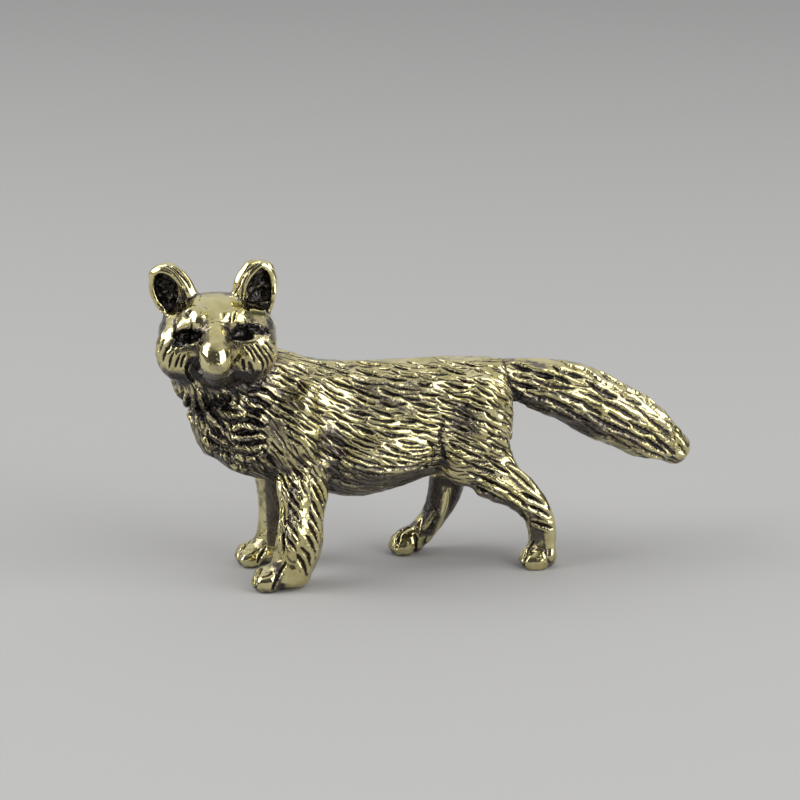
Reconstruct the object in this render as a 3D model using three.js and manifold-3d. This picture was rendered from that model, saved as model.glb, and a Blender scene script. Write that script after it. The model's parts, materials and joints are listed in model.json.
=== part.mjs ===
// A small solid brass fox, cast in sections that are pegged and brazed together: a torso with the neck,
// ruff, shoulders and haunches, a head turned over the left shoulder, two cupped ears, four legs with
// flat-soled paws, and a bushy tail. The main locks of its fur are cut in. Millimetres, +Z up. The fox
// walks towards -X, its left side faces -Y, and it stands on its four soles at Z = 0 with the origin
// under the middle of its box.

import * as THREE from 'three';
import { mergeVertices } from 'three/addons/utils/BufferGeometryUtils.js';
import Module from 'manifold-3d';

const wasm = await Module();
wasm.setup();

// Joints between the castings: every seat has the same brazing gap, and a peg that finds its socket
const JOINT_GAP = 0.3;
const LEG_PEG_RADIUS = 0.9;
const LEG_PEG_REACH = 4.2;
const LEG_PEG_SINK = 2.0;
const NECK_PEG_RADIUS = 1.6;
const NECK_PEG_REACH = 3.6;
const TAIL_PEG_RADIUS = 1.3;
const TAIL_PEG_REACH = 4.0;
const EAR_PEG_RADIUS = 0.6;
const EAR_PEG_REACH = 1.6;

// Lengths along the body, in front of and behind the shoulder joint at x = 0
const CHEST_REACH = 12.0;
const CHEST_DOME = 2.8;
const NECK_SETBACK = 4.8;
const WITHERS_REACH = 4.1;
const SHOULDER_TO_RIBS = 4.9;
const SHOULDER_TO_WAIST = 9.4;
const LOIN_TO_HIP = 5.9;
const SHOULDER_TO_HIP = 20.5;
const HIP_TO_RUMP = 4.1;
const RUMP_DOME = 2.0;

// Heights of the back line and the belly line above the floor
const RUFF_TOP = 26.8;
const NECK_HEIGHT = 27.2;
const WITHERS_HEIGHT = 25.4;
const BACK_HEIGHT = 24.1;
const LOIN_HEIGHT = 24.3;
const CROUP_HEIGHT = 24.0;
const RUMP_HEIGHT = 23.5;
const RUFF_BOTTOM = 14.1;
const CHEST_BOTTOM = 12.5;
const BREAST_BOTTOM = 11.4;
const BRISKET_HEIGHT = 10.6;
const BELLY_HEIGHT = 8.9;
const LOIN_BOTTOM = 10.4;
const FLANK_HEIGHT = 11.8;
const BUTTOCK_HEIGHT = 13.2;

// Half widths of the trunk
const RUFF_HALF_WIDTH = 4.1;
const NECK_HALF_WIDTH = 5.2;
const CHEST_HALF_WIDTH = 5.6;
const LOIN_HALF_WIDTH = 5.2;
const RUMP_HALF_WIDTH = 4.5;

// Fur: columns of hollows between locks, each column running behind the one above it by a few sections
const LOCK_PITCH = 2.5;
const LOCK_LENGTH = 6.0;
const LOCK_DEPTH = 0.35;
const LOCK_RINGS = 5;
const LOCK_STAGGER = 2;
const BARE_RIDGE_ANGLE = 20;

// Collar of fur under the head
const COLLAR_HALF_LENGTH = 4.1;
const COLLAR_HALF_WIDTH = 5.0;
const COLLAR_HALF_HEIGHT = 4.5;
const COLLAR_DROP = 3.7;
const COLLAR_LEAD = 1.2;
const COLLAR_OFFSET = 1.0;

// Shoulder and haunch muscles: half sizes, heights, spread, and the share of the height before the ends
const MUSCLE_BELLY = 0.6;
const SHOULDER_HALF_LENGTH = 4.2;
const SHOULDER_HALF_WIDTH = 2.9;
const SHOULDER_HALF_HEIGHT = 6.4;
const SHOULDER_HEIGHT = 16.8;
const SHOULDER_SPREAD = 6.6;
const SHOULDER_SLOPE = -8;
const HAUNCH_HALF_LENGTH = 4.4;
const HAUNCH_HALF_WIDTH = 3.0;
const HAUNCH_HALF_HEIGHT = 6.6;
const HAUNCH_HEIGHT = 16.2;
const HAUNCH_SPREAD = 5.8;
const HAUNCH_LEAD = 0.4;
const HAUNCH_SLOPE = 12;

// Forelegs: heights of the joints, half depths fore and aft, and the stance
const FORELEG_ROOT_HEIGHT = 15.1;
const ELBOW_HEIGHT = 10.9;
const WRIST_HEIGHT = 4.0;
const ELBOW_HALF_DEPTH = 3.0;
const FOREARM_HALF_DEPTH = 2.35;
const WRIST_HALF_DEPTH = 2.2;
const FORELEG_HALF_WIDTH = 2.1;
const FORELEG_SLANT = 1.7;
const FRONT_STANCE = 9.0;
const FRONT_LEAD = 1.1;

// Hind legs: half depths at thigh, shank and hock, and the stance
const HIND_ROOT_HEIGHT = 15.6;
const THIGH_HALF_DEPTH = 3.2;
const THIGH_HALF_WIDTH = 2.2;
const SHANK_HALF_DEPTH = 2.0;
const HOCK_HALF_DEPTH = 1.55;
const SHANK_HALF_WIDTH = 1.9;
const HOCK_HALF_WIDTH = 1.6;
const HIND_STANCE = 8.0;
const HIND_SHIFT = 0.4;

// Left hind leg, pushing off: joints behind the hip and above the floor
const LEFT_THIGH_BACK = 1.3;
const LEFT_THIGH_HEIGHT = 11.4;
const LEFT_SHANK_BACK = 4.2;
const LEFT_SHANK_HEIGHT = 8.8;
const LEFT_HOCK_BACK = 6.7;
const LEFT_HOCK_HEIGHT = 6.1;
const LEFT_CANNON_BACK = 7.2;
const LEFT_CANNON_HEIGHT = 2.6;
const LEFT_HEEL_BACK = 8.9;

// Right hind leg, stepping forward under the belly: joints ahead of the hip and above the floor
const RIGHT_THIGH_AHEAD = 1.7;
const RIGHT_THIGH_HEIGHT = 10.1;
const RIGHT_SHANK_AHEAD = 2.3;
const RIGHT_SHANK_HEIGHT = 6.7;
const RIGHT_HOCK_AHEAD = 3.5;
const RIGHT_HOCK_HEIGHT = 4.2;
const RIGHT_CANNON_AHEAD = 5.2;
const RIGHT_CANNON_HEIGHT = 2.1;
const RIGHT_HEEL_AHEAD = 4.6;
const RIGHT_THIGH_HALF_DEPTH = 2.4;

// Paws, each with a row of toes
const FOREPAW_LENGTH = 6.5;
const HINDPAW_LENGTH = 4.4;
const FOREPAW_WIDTH = 4.7;
const HINDPAW_WIDTH = 3.9;
const PAW_HEIGHT = 3.2;
const PAW_ROUNDING = 1.1;
const TOE_COUNT = 4;
const TOE_HALF_WIDTH = 0.75;
const TOE_HALF_HEIGHT = 1.15;
const TOE_LENGTH = 2.8;
const TOE_FAN = 1.2;

// Tail: a brush that swells, droops and comes to a blunt tip
const TAIL_LENGTH = 21.6;
const TAIL_SET = 2.3;
const TAIL_DROP = 10.8;
const TAIL_ROOT_RADIUS = 2.6;
const TAIL_BRUSH_HALF_HEIGHT = 3.55;
const TAIL_BRUSH_HALF_WIDTH = 3.0;
const TAIL_TIP_RADIUS = 1.95;
const TAIL_TIP_DOME = 1.6;

// Head, modelled looking along -X and then turned on the neck
const HEAD_TURN = 78;
const HEAD_SETBACK = 3.1;
const HEAD_OFFSET = 1.8;
const HEAD_RISE = 0.8;
const FACE_HALF_WIDTH = 6.5;
const FACE_HALF_DEPTH = 5.2;
const CROWN_HEIGHT = 5.2;
const CHIN_DEPTH = 5.1;
const SKULL_DOME = 0.9;
const CHEEK_BULGE = 0.15;
const CHEEK_HALF_WIDTH = 3.2;
const CHEEK_HALF_DEPTH = 2.7;
const CHEEK_HALF_HEIGHT = 3.7;
const CHEEK_DROP = 0.6;
const MUZZLE_LENGTH = 4.4;
const MUZZLE_RISE = 1.0;
const MUZZLE_ROOT_RADIUS = 2.2;
const NOSE_RADIUS = 1.6;
const NOSE_HALF_HEIGHT = 2.05;
const NOSE_RISE = 0.3;
const JAW_HALF_LENGTH = 2.0;
const JAW_HALF_WIDTH = 1.9;
const JAW_HALF_HEIGHT = 1.3;
const JAW_DROP = 3.0;
const BROW_HALF_WIDTH = 1.75;
const BROW_HALF_HEIGHT = 1.5;
const BROW_HALF_DEPTH = 2.2;
const BROW_SPACING = 4.4;
const BROW_RISE = 3.1;
const EYE_HALF_WIDTH = 1.8;
const EYE_HALF_HEIGHT = 0.6;
const EYE_DEPTH = 1.0;
const EYE_SPACING = 6.2;
const EYE_RISE = 1.6;

// Ears: cupped leaves that lean outwards and open forwards and to the side
const EAR_HEIGHT = 5.6;
const EAR_HALF_WIDTH = 2.6;
const EAR_HALF_DEPTH = 1.6;
const EAR_TIP_HALF_WIDTH = 1.8;
const EAR_TIP_HALF_DEPTH = 1.0;
const EAR_WALL = 0.65;
const EAR_CUP_LEAD = 0.9;
const EAR_PEG_SETBACK = 0.8;
const EAR_SPACING = 7.6;
const EAR_SINK = 0.4;
const EAR_SPLAY = 24;
const LEFT_EAR_LEAN = 11;
const RIGHT_EAR_LEAN = 28;

// Facets of the sections and of the domed ends
const HEAD_SIDES = 20;
const LIMB_SIDES = 12;
const LUMP_SIDES = 12;
const BROW_SIDES = 10;
const TOE_SIDES = 8;
const DOME_RINGS = 3;

const X_AXIS = new THREE.Vector3(1, 0, 0);
const Y_AXIS = new THREE.Vector3(0, 1, 0);

// Places that follow from the sizes above
const HIP_X = SHOULDER_TO_HIP;
const RUMP_X = SHOULDER_TO_HIP + HIP_TO_RUMP;
const TAIL_Z = RUMP_HEIGHT - TAIL_SET;
const HEAD_CENTRE = new THREE.Vector3(HEAD_SETBACK - CHEST_REACH, -HEAD_OFFSET, NECK_HEIGHT + HEAD_RISE);

const brass = new THREE.MeshStandardMaterial({ color: 0xb09a4c, roughness: 0.3, metalness: 1.0 });

// A closed skin through stations { x, y, z, deep, wide }: oval sections that follow the spine, with a
// dome of the given length on each end. Upright sections stay square to X instead of to the spine, and
// a dip sinks single points of the sections by what it gives for their loop, side and angle.
function sweep(stations, { domes, rings, sides, upright = false, grow = 0, dip = () => 0 }) {
  const spine = new THREE.CatmullRomCurve3(stations.map((s) => new THREE.Vector3(s.x, s.y ?? 0, s.z)));
  const girth = new THREE.CatmullRomCurve3(stations.map((s) => new THREE.Vector3(s.deep, s.wide, 0)));
  const positions = [];
  const addLoop = (centre, along, deep, wide, loop) => {
    const deepAxis = new THREE.Vector3().crossVectors(Y_AXIS, along).normalize();
    const wideAxis = new THREE.Vector3().crossVectors(along, deepAxis).normalize();
    for (let i = 0; i < sides; i++) {
      const angle = (2 * Math.PI * i) / sides;
      const sunk = loop === undefined ? 0 : dip(loop, i, angle);
      const point = centre.clone()
        .addScaledVector(deepAxis, (deep - sunk) * Math.cos(angle))
        .addScaledVector(wideAxis, (wide - sunk) * Math.sin(angle));
      positions.push(point.x, point.y, point.z);
    }
  };
  const addDome = (t, sign, length) => {
    const along = upright ? X_AXIS : spine.getTangent(t);
    const end = spine.getPoint(t);
    const { x: deep, y: wide } = girth.getPoint(t);
    const angles = Array.from({ length: DOME_RINGS }, (_, k) => ((k + 1) * Math.PI) / 2 / (DOME_RINGS + 1));
    if (sign < 0) angles.reverse();
    for (const angle of angles) {
      const centre = end.clone().addScaledVector(along, sign * (length + grow) * Math.sin(angle));
      addLoop(centre, along, (deep + grow) * Math.cos(angle), (wide + grow) * Math.cos(angle));
    }
    return end.addScaledVector(along, sign * (length + grow));
  };
  const firstPole = addDome(0, -1, domes[0]);
  for (let k = 0; k <= rings; k++) {
    const { x: deep, y: wide } = girth.getPoint(k / rings);
    const along = upright ? X_AXIS : spine.getTangent(k / rings);
    addLoop(spine.getPoint(k / rings), along, deep + grow, wide + grow, k);
  }
  const lastPole = addDome(1, 1, domes[1]);
  return skin(positions, sides, firstPole, lastPole);
}

// A sweep with its fur cut in: enough sections and sides for the locks, with the ridge on top left bare.
// A grown one, which cuts a seat, stays smooth.
function furred(stations, { domes, upright = false, grow = 0 }) {
  const ends = [stations[0], stations.at(-1)];
  const length = Math.hypot(ends[1].x - ends[0].x, ends[1].z - ends[0].z);
  const rings = LOCK_RINGS * Math.max(1, Math.round(length / LOCK_LENGTH));
  const deepest = Math.max(...stations.map((s) => s.deep));
  const widest = Math.max(...stations.map((s) => s.wide));
  const sides = 2 * Math.round((Math.PI * (deepest + widest)) / LOCK_PITCH);
  const bare = Math.cos(THREE.MathUtils.degToRad(BARE_RIDGE_ANGLE));
  const dip = (loop, side, angle) => {
    const fromTop = Math.min(side, sides - side);
    const phase = (2 * Math.PI * (loop - LOCK_STAGGER * fromTop)) / LOCK_RINGS;
    return grow > 0 || Math.cos(angle) > bare ? 0 : LOCK_DEPTH * Math.max(0, Math.sin(phase));
  };
  return sweep(stations, { domes, rings, sides, upright, grow, dip });
}

// Joins loops of points, one after another, into a closed skin with a pole at each end.
function skin(positions, sides, firstPole, lastPole) {
  const points = positions.length / 3;
  const loops = points / sides;
  const index = [];
  for (let i = 0; i < sides; i++) {
    const next = (i + 1) % sides;
    index.push(points, next, i);
    index.push(points + 1, (loops - 1) * sides + i, (loops - 1) * sides + next);
    for (let k = 0; k + 1 < loops; k++) {
      const low = k * sides;
      const high = low + sides;
      index.push(low + i, low + next, high + next, low + i, high + next, high + i);
    }
  }
  const all = [...positions, ...firstPole.toArray(), ...lastPole.toArray()];
  const geometry = new THREE.BufferGeometry();
  geometry.setAttribute('position', new THREE.Float32BufferAttribute(all, 3));
  geometry.setIndex(index);
  return geometry;
}

// An ellipsoid about a centre, turned by slope degrees about Y.
function lump(centre, radii, { sides = LUMP_SIDES, grow = 0, slope = 0 } = {}) {
  const geometry = new THREE.SphereGeometry(1, sides, Math.ceil(sides * 0.7));
  geometry.scale(radii[0] + grow, radii[1] + grow, radii[2] + grow);
  geometry.rotateY(THREE.MathUtils.degToRad(slope));
  return geometry.translate(...centre);
}

// A muscle that hangs from its upper end to its lower one, leant by slope degrees, with fur on it.
function muscle(centre, [length, width, height], { grow, slope }) {
  const lean = THREE.MathUtils.degToRad(slope);
  const station = (share) => ({
    x: centre[0] + share * height * Math.sin(lean),
    y: centre[1],
    z: centre[2] + share * height * Math.cos(lean),
    deep: length * Math.sqrt(1 - share * share),
    wide: width * Math.sqrt(1 - share * share),
  });
  const dome = height * (1 - MUSCLE_BELLY);
  return furred([station(MUSCLE_BELLY), station(0), station(-MUSCLE_BELLY)], { domes: [dome, dome], grow });
}

// A round peg from one point to another, or with grow the socket that it goes into.
function peg(from, to, radius, grow = 0) {
  const axis = new THREE.Vector3().subVectors(to, from);
  const length = axis.length() + grow;
  const geometry = new THREE.CylinderGeometry(radius + grow, radius + grow, length, LIMB_SIDES);
  geometry.translate(0, length / 2, 0);
  geometry.applyQuaternion(new THREE.Quaternion().setFromUnitVectors(Y_AXIS, axis.normalize()));
  return geometry.translate(from.x, from.y, from.z);
}

// The point at a distance from one point towards another.
function towards(from, to, distance) {
  return from.clone().addScaledVector(new THREE.Vector3().subVectors(to, from).normalize(), distance);
}

// The solid inside a closed geometry, placed by a matrix if one is given.
function solid(geometry, matrix = new THREE.Matrix4()) {
  const bare = geometry.clone().applyMatrix4(matrix);
  bare.deleteAttribute('normal');
  bare.deleteAttribute('uv');
  const merged = mergeVertices(bare);
  return new wasm.Manifold(new wasm.Mesh({
    numProp: 3,
    vertProperties: merged.attributes.position.array,
    triVerts: new Uint32Array(merged.index.array),
  }));
}

// Several geometries as one solid.
function fuse(geometries, matrix) {
  return geometries.map((g) => solid(g, matrix)).reduce((whole, part) => whole.add(part));
}

// The largest body of a solid: where one rounded form cuts another, the slivers beside it are dropped.
function mainBody(cut) {
  return cut.decompose().reduce((best, body) => (body.volume() > best.volume() ? body : best));
}

// A named mesh of a finished solid.
function casting(name, finished) {
  const mesh = mainBody(finished).getMesh();
  const geometry = new THREE.BufferGeometry();
  geometry.setAttribute('position', new THREE.BufferAttribute(mesh.vertProperties, 3));
  geometry.setIndex(new THREE.BufferAttribute(mesh.triVerts, 1));
  geometry.computeVertexNormals();
  const piece = new THREE.Mesh(geometry, brass.clone());
  piece.name = name;
  return piece;
}

// Torso: trunk with neck and ruff, a collar under the head, and a shoulder and a haunch on each side.
function torsoForms(grow) {
  const section = (x, top, bottom, wide) => ({ x, z: (top + bottom) / 2, deep: (top - bottom) / 2, wide });
  const trunk = furred([
    section(CHEST_DOME - CHEST_REACH, RUFF_TOP, RUFF_BOTTOM, RUFF_HALF_WIDTH),
    section(NECK_SETBACK - CHEST_REACH, NECK_HEIGHT, CHEST_BOTTOM, NECK_HALF_WIDTH),
    section(-WITHERS_REACH, NECK_HEIGHT, BREAST_BOTTOM, NECK_HALF_WIDTH),
    section(0, WITHERS_HEIGHT, BRISKET_HEIGHT, CHEST_HALF_WIDTH),
    section(SHOULDER_TO_RIBS, BACK_HEIGHT, BELLY_HEIGHT, CHEST_HALF_WIDTH),
    section(SHOULDER_TO_WAIST, BACK_HEIGHT, BELLY_HEIGHT, CHEST_HALF_WIDTH),
    section(HIP_X - LOIN_TO_HIP, LOIN_HEIGHT, LOIN_BOTTOM, LOIN_HALF_WIDTH),
    section(HIP_X, CROUP_HEIGHT, FLANK_HEIGHT, LOIN_HALF_WIDTH),
    section(RUMP_X - RUMP_DOME, RUMP_HEIGHT, BUTTOCK_HEIGHT, RUMP_HALF_WIDTH),
  ], { domes: [CHEST_DOME, RUMP_DOME], upright: true, grow });
  const collar = lump(
    [HEAD_CENTRE.x - COLLAR_LEAD, -COLLAR_OFFSET, HEAD_CENTRE.z - COLLAR_DROP],
    [COLLAR_HALF_LENGTH, COLLAR_HALF_WIDTH, COLLAR_HALF_HEIGHT],
    { grow },
  );
  const muscles = [-0.5, 0.5].flatMap((side) => [
    muscle(
      [0, side * SHOULDER_SPREAD, SHOULDER_HEIGHT],
      [SHOULDER_HALF_LENGTH, SHOULDER_HALF_WIDTH, SHOULDER_HALF_HEIGHT],
      { grow, slope: SHOULDER_SLOPE },
    ),
    muscle(
      [HIP_X - HAUNCH_LEAD, side * HAUNCH_SPREAD, HAUNCH_HEIGHT],
      [HAUNCH_HALF_LENGTH, HAUNCH_HALF_WIDTH, HAUNCH_HALF_HEIGHT],
      { grow, slope: HAUNCH_SLOPE },
    ),
  ]);
  return [trunk, collar, ...muscles];
}

// A paw that points along -X with its heel at the given x, its toes fanned across the front.
function pawForms(heel, y, length, width) {
  const tip = heel - length;
  const pad = sweep([
    { x: heel - PAW_ROUNDING, y, z: 0.48 * PAW_HEIGHT, deep: 0.5 * PAW_HEIGHT, wide: 0.42 * width },
    { x: heel - 0.45 * length, y, z: 0.45 * PAW_HEIGHT, deep: 0.5 * PAW_HEIGHT, wide: 0.48 * width },
    { x: tip + 1.3 * PAW_ROUNDING, y, z: 0.34 * PAW_HEIGHT, deep: 0.4 * PAW_HEIGHT, wide: 0.42 * width },
  ], { domes: [PAW_ROUNDING, PAW_ROUNDING], rings: 4, sides: LUMP_SIDES });
  const toes = Array.from({ length: TOE_COUNT }, (_, i) => {
    const across = i / (TOE_COUNT - 1) - 0.5;
    const x = tip + TOE_LENGTH / 2 + TOE_FAN * across * across;
    const z = 0.75 * TOE_HALF_HEIGHT;
    const centre = [x, y + across * (width - 2 * TOE_HALF_WIDTH), z];
    return lump(centre, [TOE_LENGTH / 2, TOE_HALF_WIDTH, TOE_HALF_HEIGHT], { sides: TOE_SIDES });
  });
  return [pad, ...toes];
}

// Foreleg on one side (-1 left, 1 right), its elbow ahead of the shoulder by lead.
function foreleg(side, lead) {
  const y = (side * FRONT_STANCE) / 2;
  const elbow = new THREE.Vector3(-lead, 0.93 * y, ELBOW_HEIGHT);
  const root = new THREE.Vector3(-0.4 * lead, 0.6 * y, FORELEG_ROOT_HEIGHT);
  const limb = sweep([
    { ...root, deep: ELBOW_HALF_DEPTH, wide: FORELEG_HALF_WIDTH },
    { ...elbow, deep: ELBOW_HALF_DEPTH, wide: FORELEG_HALF_WIDTH },
    {
      x: -0.2 * FORELEG_SLANT - 0.8 * lead, y, z: (ELBOW_HEIGHT + WRIST_HEIGHT) / 2,
      deep: FOREARM_HALF_DEPTH, wide: FORELEG_HALF_WIDTH,
    },
    {
      x: -0.5 * FORELEG_SLANT - 0.6 * lead, y, z: WRIST_HEIGHT,
      deep: WRIST_HALF_DEPTH, wide: FORELEG_HALF_WIDTH,
    },
    {
      x: -FORELEG_SLANT - 0.4 * lead, y, z: 0.6 * PAW_HEIGHT,
      deep: WRIST_HALF_DEPTH, wide: FORELEG_HALF_WIDTH,
    },
  ], { domes: [FORELEG_HALF_WIDTH, PAW_ROUNDING], rings: 10, sides: LIMB_SIDES });
  const heel = WRIST_HALF_DEPTH - FORELEG_SLANT - 0.4 * lead;
  const forms = [limb, ...pawForms(heel, y, FOREPAW_LENGTH, FOREPAW_WIDTH)];
  return {
    forms,
    pegFrom: towards(elbow, root, -LEG_PEG_SINK),
    pegTo: towards(elbow, root, LEG_PEG_REACH),
  };
}

// Hind leg on one side, bent through joints that are given by x and height.
function hindLeg(side, { thigh, shank, hock, cannon, heel }) {
  const y = (side * HIND_STANCE) / 2 + HIND_SHIFT;
  const root = new THREE.Vector3(HIP_X, 0.62 * y, HIND_ROOT_HEIGHT);
  const knee = new THREE.Vector3(thigh.x, 0.92 * y, thigh.z);
  const limb = sweep([
    { ...root, deep: THIGH_HALF_DEPTH, wide: SHANK_HALF_WIDTH },
    { ...knee, deep: thigh.deep, wide: THIGH_HALF_WIDTH },
    { ...shank, y, deep: SHANK_HALF_DEPTH, wide: SHANK_HALF_WIDTH },
    { ...hock, y, deep: HOCK_HALF_DEPTH, wide: HOCK_HALF_WIDTH },
    { ...cannon, y, deep: HOCK_HALF_DEPTH, wide: HOCK_HALF_WIDTH },
  ], { domes: [SHANK_HALF_WIDTH, PAW_ROUNDING], rings: 10, sides: LIMB_SIDES });
  const forms = [limb, ...pawForms(heel, y, HINDPAW_LENGTH, HINDPAW_WIDTH)];
  return {
    forms,
    pegFrom: towards(knee, root, -LEG_PEG_SINK),
    pegTo: towards(knee, root, LEG_PEG_REACH),
  };
}

const legs = {
  front_left_leg: foreleg(-1, 0),
  front_right_leg: foreleg(1, FRONT_LEAD),
  hind_left_leg: hindLeg(-1, {
    thigh: { x: HIP_X + LEFT_THIGH_BACK, z: LEFT_THIGH_HEIGHT, deep: THIGH_HALF_DEPTH },
    shank: { x: HIP_X + LEFT_SHANK_BACK, z: LEFT_SHANK_HEIGHT },
    hock: { x: HIP_X + LEFT_HOCK_BACK, z: LEFT_HOCK_HEIGHT },
    cannon: { x: HIP_X + LEFT_CANNON_BACK, z: LEFT_CANNON_HEIGHT },
    heel: HIP_X + LEFT_HEEL_BACK,
  }),
  hind_right_leg: hindLeg(1, {
    thigh: { x: HIP_X - RIGHT_THIGH_AHEAD, z: RIGHT_THIGH_HEIGHT, deep: RIGHT_THIGH_HALF_DEPTH },
    shank: { x: HIP_X - RIGHT_SHANK_AHEAD, z: RIGHT_SHANK_HEIGHT },
    hock: { x: HIP_X - RIGHT_HOCK_AHEAD, z: RIGHT_HOCK_HEIGHT },
    cannon: { x: HIP_X - RIGHT_CANNON_AHEAD, z: RIGHT_CANNON_HEIGHT },
    heel: HIP_X - RIGHT_HEEL_AHEAD,
  }),
};

// A finished leg: cut flat at the floor and back to the torso's surface, with its peg.
function legSolid({ forms, pegFrom, pegTo }) {
  const reach = 4 * (CHEST_REACH + RUMP_X);
  const floor = new THREE.BoxGeometry(reach, reach, PAW_HEIGHT).translate(0, 0, -PAW_HEIGHT / 2);
  return fuse(forms)
    .subtract(solid(floor))
    .subtract(fuse(torsoForms(JOINT_GAP)))
    .add(solid(peg(pegFrom, pegTo, LEG_PEG_RADIUS)));
}

// The tail's brush, with its root inside the rump.
function tailForm() {
  const brush = (along, drop, deep, wide) => ({
    x: RUMP_X + along * TAIL_LENGTH,
    z: TAIL_Z - drop * TAIL_DROP,
    deep,
    wide,
  });
  return furred([
    brush(-0.08, 0, 0.92 * TAIL_ROOT_RADIUS, 0.85 * TAIL_ROOT_RADIUS),
    brush(0.05, 0.02, TAIL_ROOT_RADIUS, 0.92 * TAIL_ROOT_RADIUS),
    brush(0.3, 0.135, 0.93 * TAIL_BRUSH_HALF_HEIGHT, 0.95 * TAIL_BRUSH_HALF_WIDTH),
    brush(0.55, 0.385, TAIL_BRUSH_HALF_HEIGHT, TAIL_BRUSH_HALF_WIDTH),
    brush(0.78, 0.665, 0.87 * TAIL_BRUSH_HALF_HEIGHT, 0.87 * TAIL_BRUSH_HALF_WIDTH),
    brush(0.93, 0.88, TAIL_TIP_RADIUS, TAIL_TIP_RADIUS),
  ], { domes: [TAIL_TIP_DOME, TAIL_TIP_DOME] });
}
const tailPegFrom = new THREE.Vector3(RUMP_X + TAIL_PEG_REACH / 2, 0, TAIL_Z);
const tailPegTo = new THREE.Vector3(RUMP_X - TAIL_PEG_REACH, 0, TAIL_Z);

// Head: a skull built up from chin to crown, cheek ruffs, brows, a muzzle with a ball nose, and a jaw.
function headForms(grow) {
  const front = -FACE_HALF_DEPTH;
  const level = (x, z, deep, wide) => ({
    x: x * FACE_HALF_DEPTH,
    z,
    deep: deep * FACE_HALF_DEPTH,
    wide: wide * FACE_HALF_WIDTH,
  });
  const skull = sweep([
    level(-0.15, SKULL_DOME - CHIN_DEPTH, 0.52, 0.5),
    level(-0.1, -0.52 * CHIN_DEPTH, 0.82, 0.83),
    level(-0.02, -0.15 * CHIN_DEPTH, 0.97, 1),
    level(0.02, 0.27 * CROWN_HEIGHT, 1, 0.99),
    level(0.06, 0.62 * CROWN_HEIGHT, 0.88, 0.82),
    level(0.08, CROWN_HEIGHT - SKULL_DOME, 0.62, 0.55),
  ], { domes: [SKULL_DOME, SKULL_DOME], rings: 12, sides: HEAD_SIDES, grow });
  const snout = (x, z, radius) => ({ x: front + x, z, deep: radius, wide: 0.94 * radius });
  const muzzle = sweep([
    snout(0.8 * NOSE_RADIUS - MUZZLE_LENGTH, NOSE_RISE, NOSE_RADIUS),
    snout(-MUZZLE_LENGTH / 2, 0.8 * MUZZLE_RISE, NOSE_RADIUS),
    snout(0, MUZZLE_RISE, MUZZLE_ROOT_RADIUS),
    snout(MUZZLE_ROOT_RADIUS, MUZZLE_RISE, MUZZLE_ROOT_RADIUS),
  ], { domes: [NOSE_RADIUS / 2, NOSE_RADIUS / 2], rings: 6, sides: LIMB_SIDES, upright: true, grow });
  const nose = lump(
    [front - MUZZLE_LENGTH + NOSE_RADIUS, 0, NOSE_RISE],
    [NOSE_RADIUS, NOSE_RADIUS, NOSE_HALF_HEIGHT],
    { sides: LIMB_SIDES, grow },
  );
  const jaw = lump(
    [front + 0.6 * JAW_HALF_LENGTH, 0, -JAW_DROP],
    [JAW_HALF_LENGTH, JAW_HALF_WIDTH, JAW_HALF_HEIGHT],
    { grow },
  );
  const paired = [-1, 1].flatMap((side) => [
    lump(
      [front + CHEEK_HALF_DEPTH, side * (FACE_HALF_WIDTH + CHEEK_BULGE - CHEEK_HALF_WIDTH), -CHEEK_DROP],
      [CHEEK_HALF_DEPTH, CHEEK_HALF_WIDTH, CHEEK_HALF_HEIGHT],
      { grow },
    ),
    lump(
      [front + 0.92 * BROW_HALF_DEPTH, (side * BROW_SPACING) / 2, BROW_RISE],
      [BROW_HALF_DEPTH, BROW_HALF_WIDTH, BROW_HALF_HEIGHT],
      { sides: BROW_SIDES, grow },
    ),
  ]);
  return [skull, muzzle, nose, jaw, ...paired];
}

// The narrow hollows of the eyes, under the brows.
function eyeHollows() {
  return [-0.5, 0.5].map((side) =>
    lump([-FACE_HALF_DEPTH, side * EYE_SPACING, EYE_RISE], [2 * EYE_DEPTH, EYE_HALF_WIDTH, EYE_HALF_HEIGHT]));
}

// An ear's leaf shape, drawn in all round by an inset.
function earLeaf(inset) {
  const across = (share, deep, wide) => ({
    x: 0,
    z: share * EAR_HEIGHT,
    deep: deep - inset,
    wide: wide - inset,
  });
  return sweep([
    across(-0.15, EAR_HALF_DEPTH, 0.92 * EAR_HALF_WIDTH),
    across(0.2, EAR_HALF_DEPTH, EAR_HALF_WIDTH),
    across(0.5, 0.88 * EAR_HALF_DEPTH, EAR_HALF_WIDTH),
    across(0.8, EAR_TIP_HALF_DEPTH, EAR_TIP_HALF_WIDTH),
  ], { domes: [0.07 * EAR_HEIGHT, 0.13 * EAR_HEIGHT], rings: 8, sides: LIMB_SIDES });
}

// An ear's frame on the head: where the crown's curve is at its spacing, leant out and opened sideways.
function earFrame(side, lean) {
  const across = EAR_SPACING / 2 / FACE_HALF_WIDTH;
  const frame = new THREE.Group();
  frame.position.set(0, (side * EAR_SPACING) / 2, CROWN_HEIGHT * Math.sqrt(1 - across * across) - EAR_SINK);
  frame.rotation.x = THREE.MathUtils.degToRad(-side * lean);
  frame.rotation.z = THREE.MathUtils.degToRad(-side * EAR_SPLAY);
  frame.updateMatrix();
  return frame;
}
const earPegFrom = new THREE.Vector3(EAR_PEG_SETBACK, 0, EAR_HEIGHT / 4);
const earPegTo = new THREE.Vector3(EAR_PEG_SETBACK, 0, -EAR_PEG_REACH);

// An ear scooped out from the front, seated on the crown and pegged into it.
function earSolid(frame) {
  const scoop = earLeaf(EAR_WALL).translate(-EAR_CUP_LEAD, 0, 0.12 * EAR_HEIGHT);
  return solid(earLeaf(0))
    .subtract(solid(scoop))
    .subtract(fuse(headForms(JOINT_GAP), frame.matrix.clone().invert()))
    .add(solid(peg(earPegFrom, earPegTo, EAR_PEG_RADIUS)));
}

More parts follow.
